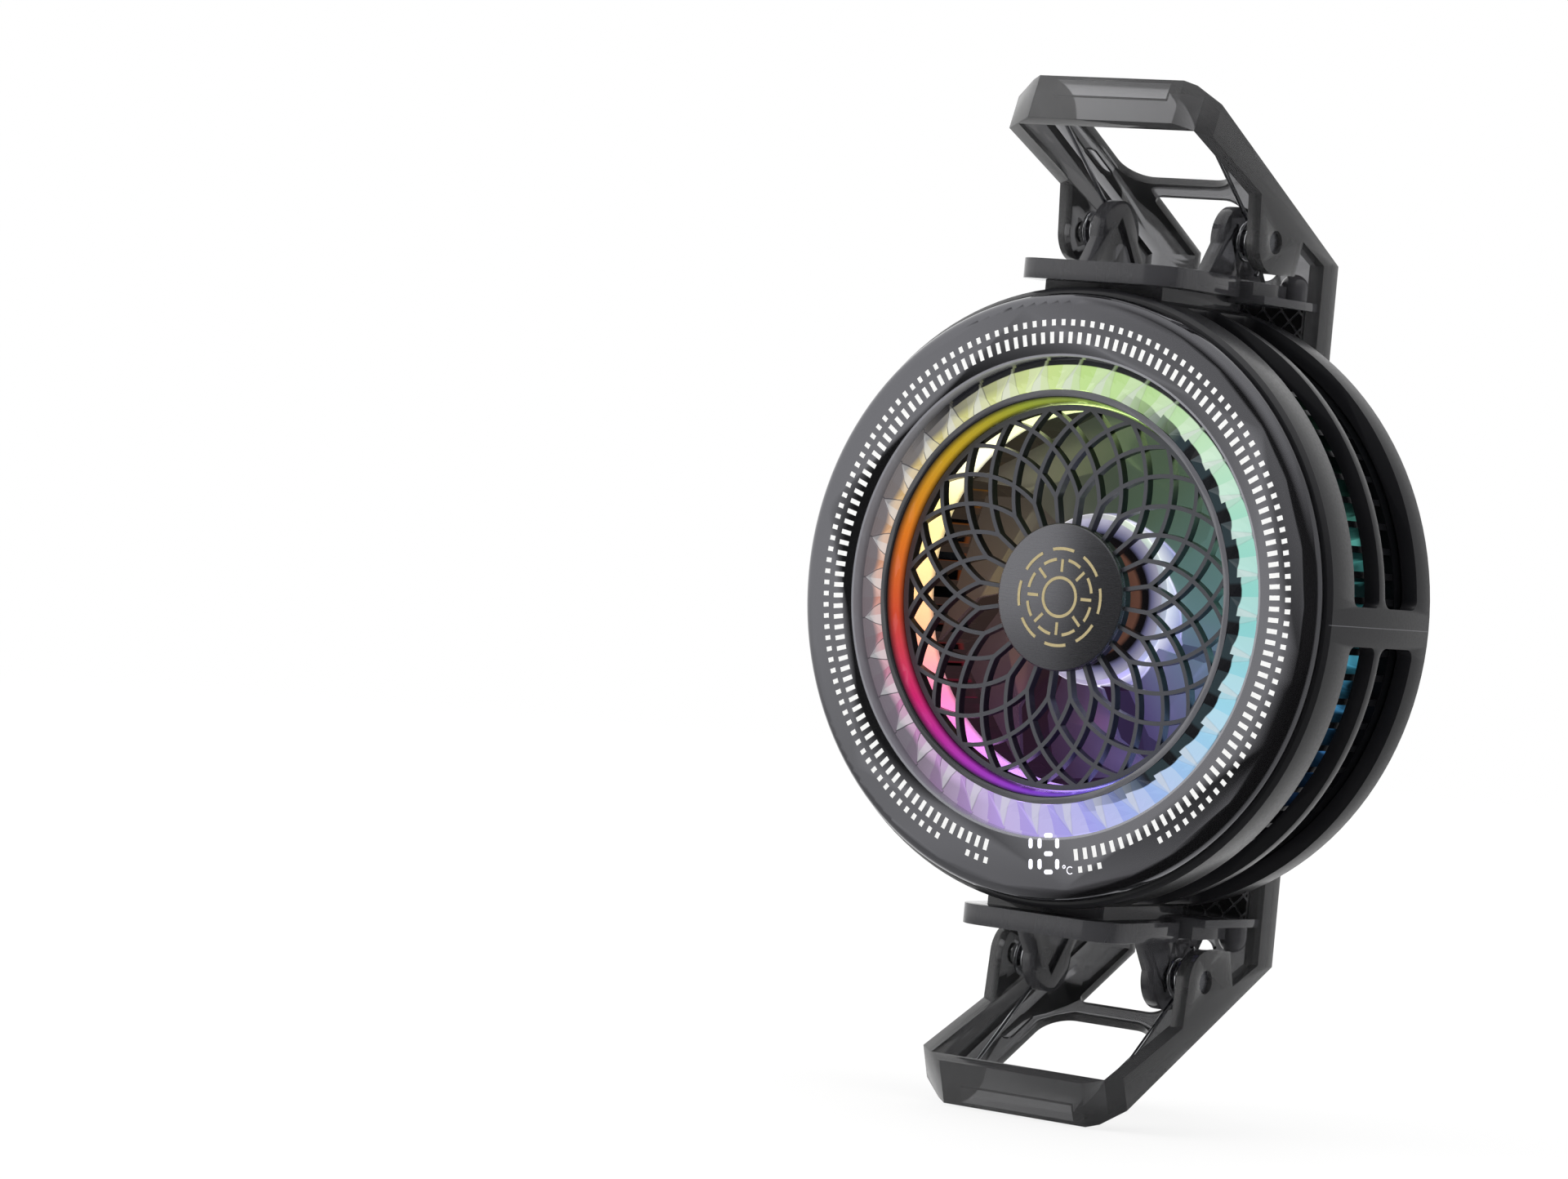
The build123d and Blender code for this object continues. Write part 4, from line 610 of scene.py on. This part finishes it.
# a plain gilt rosette in the middle of the cap: a ring, eight spokes and sixteen arcs
dial = {"count": 8, "width": 0.36 * mm, "faceY": -25.05 * mm, "ringRadius": 2.3 * mm, "spokeMiddle": 3.75 * mm,
        "spokeLength": 1.5 * mm, "arcRadius": 5.75 * mm, "arcSweep": 30, "midRadius": 4.5 * mm, "midSweep": 24}
bm = bmesh.new()
dialMiddle = (0, dial["faceY"], 0)
pitch = 360 / dial["count"]
addArc(bm, Matrix(), dialMiddle, dial["ringRadius"], dial["width"], 0, 360)
for i in range(dial["count"]):
    angle = pitch * i
    addArc(bm, Matrix(), dialMiddle, dial["arcRadius"], dial["width"], angle - dial["arcSweep"] / 2, dial["arcSweep"])
    addArc(bm, Matrix(), dialMiddle, dial["midRadius"], dial["width"], angle + (pitch - dial["midSweep"]) / 2,
           dial["midSweep"])
    place = Matrix.Rotation(math.radians(angle), 4, fanAxis) @ Matrix.Translation(
        (dial["spokeMiddle"], dial["faceY"] - inkThickness / 2, 0)) @ Matrix.Diagonal(
        (dial["spokeLength"], inkThickness, dial["width"], 1))
    bmesh.ops.create_cube(bm, size=1, matrix=place)
bmesh.ops.recalc_face_normals(bm, faces=bm.faces)
finishMesh(bm, "gilt_dial", goldInlay, "head")
print("stage: gilt dial")

spring = {"wire": 0.56 * mm, "coil": 2.3 * mm, "pitch": 1.05 * mm, "turns": 2.25, "startX": 9.8 * mm,
          "pivot": (-7.24 * mm, 44.35 * mm), "legTip": (-18.5 * mm, 56.75 * mm), "footZ": 40.28 * mm,
          "ringSegments": 14, "stepsPerTurn": 40, "smoothAngle": 60, "blendFrom": 0.15, "blendTo": 0.75}


def makeSpring(end, hand, name):
    pivot = Vector((spring["startX"], *spring["pivot"]))
    tip = Vector((spring["startX"], *spring["legTip"]))
    reach = tip - pivot
    # the long leg leaves the coil along the tangent that ends at its tip, under the lever's web
    startAngle = math.atan2(reach.z, reach.y) - math.acos(spring["coil"] / reach.length)
    start = pivot + spring["coil"] * Vector((0, math.cos(startAngle), math.sin(startAngle)))
    along = Vector((0, math.sin(startAngle), -math.cos(startAngle)))
    bm = bmesh.new()
    place = Matrix.Translation(start) @ along.to_track_quat("Z", "Y").to_matrix().to_4x4()
    bmesh.ops.create_circle(bm, segments=spring["ringSegments"], radius=spring["wire"] / 2, matrix=place)
    firstEdges = list(bm.edges)
    steps = round(spring["turns"] * spring["stepsPerTurn"])
    advance = spring["pitch"] * spring["turns"] / steps
    turned = bmesh.ops.spin(bm, geom=firstEdges, cent=pivot, axis=(1, 0, 0), dvec=(advance, 0, 0),
                            angle=-math.tau * spring["turns"], steps=steps)
    lastEdges = [item for item in turned["geom_last"] if isinstance(item, bmesh.types.BMEdge)]
    endAngle = startAngle - math.tau * spring["turns"]
    endAlong = Vector((0, math.sin(endAngle), -math.cos(endAngle)))
    endPoint = pivot + spring["coil"] * Vector((0, math.cos(endAngle), math.sin(endAngle)))
    drop = (spring["footZ"] - endPoint.z) / endAlong.z
    for edges, shift in ((lastEdges, endAlong * drop), (firstEdges, tip - start)):
        grown = bmesh.ops.extrude_edge_only(bm, edges=edges)["geom"]
        verts = [item for item in grown if isinstance(item, bmesh.types.BMVert)]
        bmesh.ops.translate(bm, verts=verts, vec=shift)
    bmesh.ops.holes_fill(bm, edges=[e for e in bm.edges if e.is_boundary])
    flip = Vector((hand, 1, 1 if end == "upper" else -1))
    bmesh.ops.scale(bm, vec=flip, verts=bm.verts)
    bmesh.ops.recalc_face_normals(bm, faces=bm.faces)
    piece = finishMesh(bm, name + "_wire", springSteel, None, spring["smoothAngle"])
    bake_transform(piece)
    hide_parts(name)


for end in ("upper", "lower"):
    makeSpring(end, 1, end + "_spring_right")
    makeSpring(end, -1, end + "_spring_left")
print("stage: springs")

# camera at the photograph's place, for a 1920 x 1444 image
view = {"place": (350.3, -564.5, 10.8), "right": (0.80553, 0.58527, 0.09263), "up": (-0.0868, -0.0381, 0.9955),
        "forward": (-0.58617, 0.80994, -0.02011), "lens": 124.8, "sensor": 36, "near": 0.01}
camera = bpy.data.objects.new("camera", bpy.data.cameras.new("camera"))
bpy.context.scene.collection.objects.link(camera)
camera.data.lens = view["lens"]
camera.data.sensor_width = view["sensor"]
camera.data.clip_start = view["near"]
axes = Matrix((view["right"], view["up"], [-c for c in view["forward"]])).transposed()
camera.matrix_world = Matrix.Translation(Vector(view["place"]) * mm) @ axes.to_4x4()
bpy.context.scene.camera = camera
bpy.context.scene.view_settings.view_transform = "Standard"

# painted floor: it shows white far from the object and keeps the object's shadow near it
ground = {"size": 6, "gap": 0.2 * mm, "whiteness": (0.15, 0.9, 0.8, 1.0)}
floorPaint, tree, shader = newMaterial("palePaintedFloor", {"Base Color": hexColour("#f4f4f3"), "Roughness": 0.8})
giveGrain(tree, shader, 4 * mm, 0.02 * mm)
white = addNode(tree, "ShaderNodeEmission", {"Color": (1, 1, 1, 1), "Strength": 1.0})
away = addNode(tree, "ShaderNodeVectorMath", {0: objectPoint(tree)}, operation="LENGTH").outputs["Value"]
seen = times(tree, addNode(tree, "ShaderNodeLightPath").outputs["Is Camera Ray"],
             share(tree, away, *ground["whiteness"]))
paint = addNode(tree, "ShaderNodeMixShader", {0: seen, 1: shader.outputs[0], 2: white.outputs[0]})
tree.links.new(paint.outputs[0], tree.nodes["Material Output"].inputs["Surface"])
bm = bmesh.new()
bmesh.ops.create_grid(bm, x_segments=1, y_segments=1, size=ground["size"],
                      matrix=Matrix.Translation((0, 0, cadBox[0].z - ground["gap"])))
floor = finishMesh(bm, "floor", floorPaint, None)
floor.visible_glossy = False

# each lamp: place, size across and up, power in watts
studio = {"key": ((-0.55, -0.75, 0.65), (0.7, 0.5), 5.0), "fill": ((0.9, -0.35, 0.25), (0.4, 0.7), 2.0),
          "top": ((0.1, 0.1, 0.95), (0.7, 0.7), 3.0), "back": ((-0.3, 0.9, 0.3), (0.8, 0.6), 3.0)}
for name, (place, size, power) in studio.items():
    lamp = bpy.data.objects.new(name, bpy.data.lights.new(name, "AREA"))
    lamp.data.shape = "RECTANGLE"
    lamp.data.size, lamp.data.size_y = size
    lamp.data.energy = power
    lamp.location = place
    lamp.rotation_mode = "QUATERNION"
    lamp.rotation_quaternion = (-Vector(place)).to_track_quat("-Z", "Y")
    lamp.visible_glossy = False
    bpy.context.scene.collection.objects.link(lamp)

# a white sweep behind the object, a soft box at the front left and a dark side at the front right;
# for each part of the sky: where it starts and ends, and its level at both
sky = {"softBox": (-0.60, -0.49, 1.15, 0.6), "boxEnd": (-0.49, -0.38, 0.0, -0.56), "below": (-0.3, -0.03, 0.4, 1.0),
       "sweepFront": (-0.05, 0.3, 0.0, 1.0), "sweepRight": (0.45, -0.1, 0.45, 1.0), "overhead": (0.3, 0.9, 0.0, 0.9)}
world = bpy.data.worlds.new("paleStudio")
world.use_nodes = True
bpy.context.scene.world = world
tree = world.node_tree
background = tree.nodes["Background"]
skyPoint = addNode(tree, "ShaderNodeTexCoord").outputs["Generated"]
skyX, skyY, skyZ = addNode(tree, "ShaderNodeSeparateXYZ", {"Vector": skyPoint}).outputs
frontBox = maths(tree, "ADD", share(tree, skyX, *sky["softBox"]), share(tree, skyX, *sky["boxEnd"]))
sweep = times(tree, share(tree, skyY, *sky["sweepFront"]), share(tree, skyX, *sky["sweepRight"]))
level = maths(tree, "MAXIMUM", times(tree, frontBox, share(tree, skyZ, *sky["below"])), sweep)
level = maths(tree, "MAXIMUM", level, share(tree, skyZ, *sky["overhead"]))
seen = addNode(tree, "ShaderNodeLightPath").outputs["Is Camera Ray"]
background.inputs["Color"].default_value = (1, 1, 1, 1)
tree.links.new(mixed(tree, seen, level, (1, 1, 1, 1)), background.inputs["Strength"])
print("stage: camera, floor and lights")
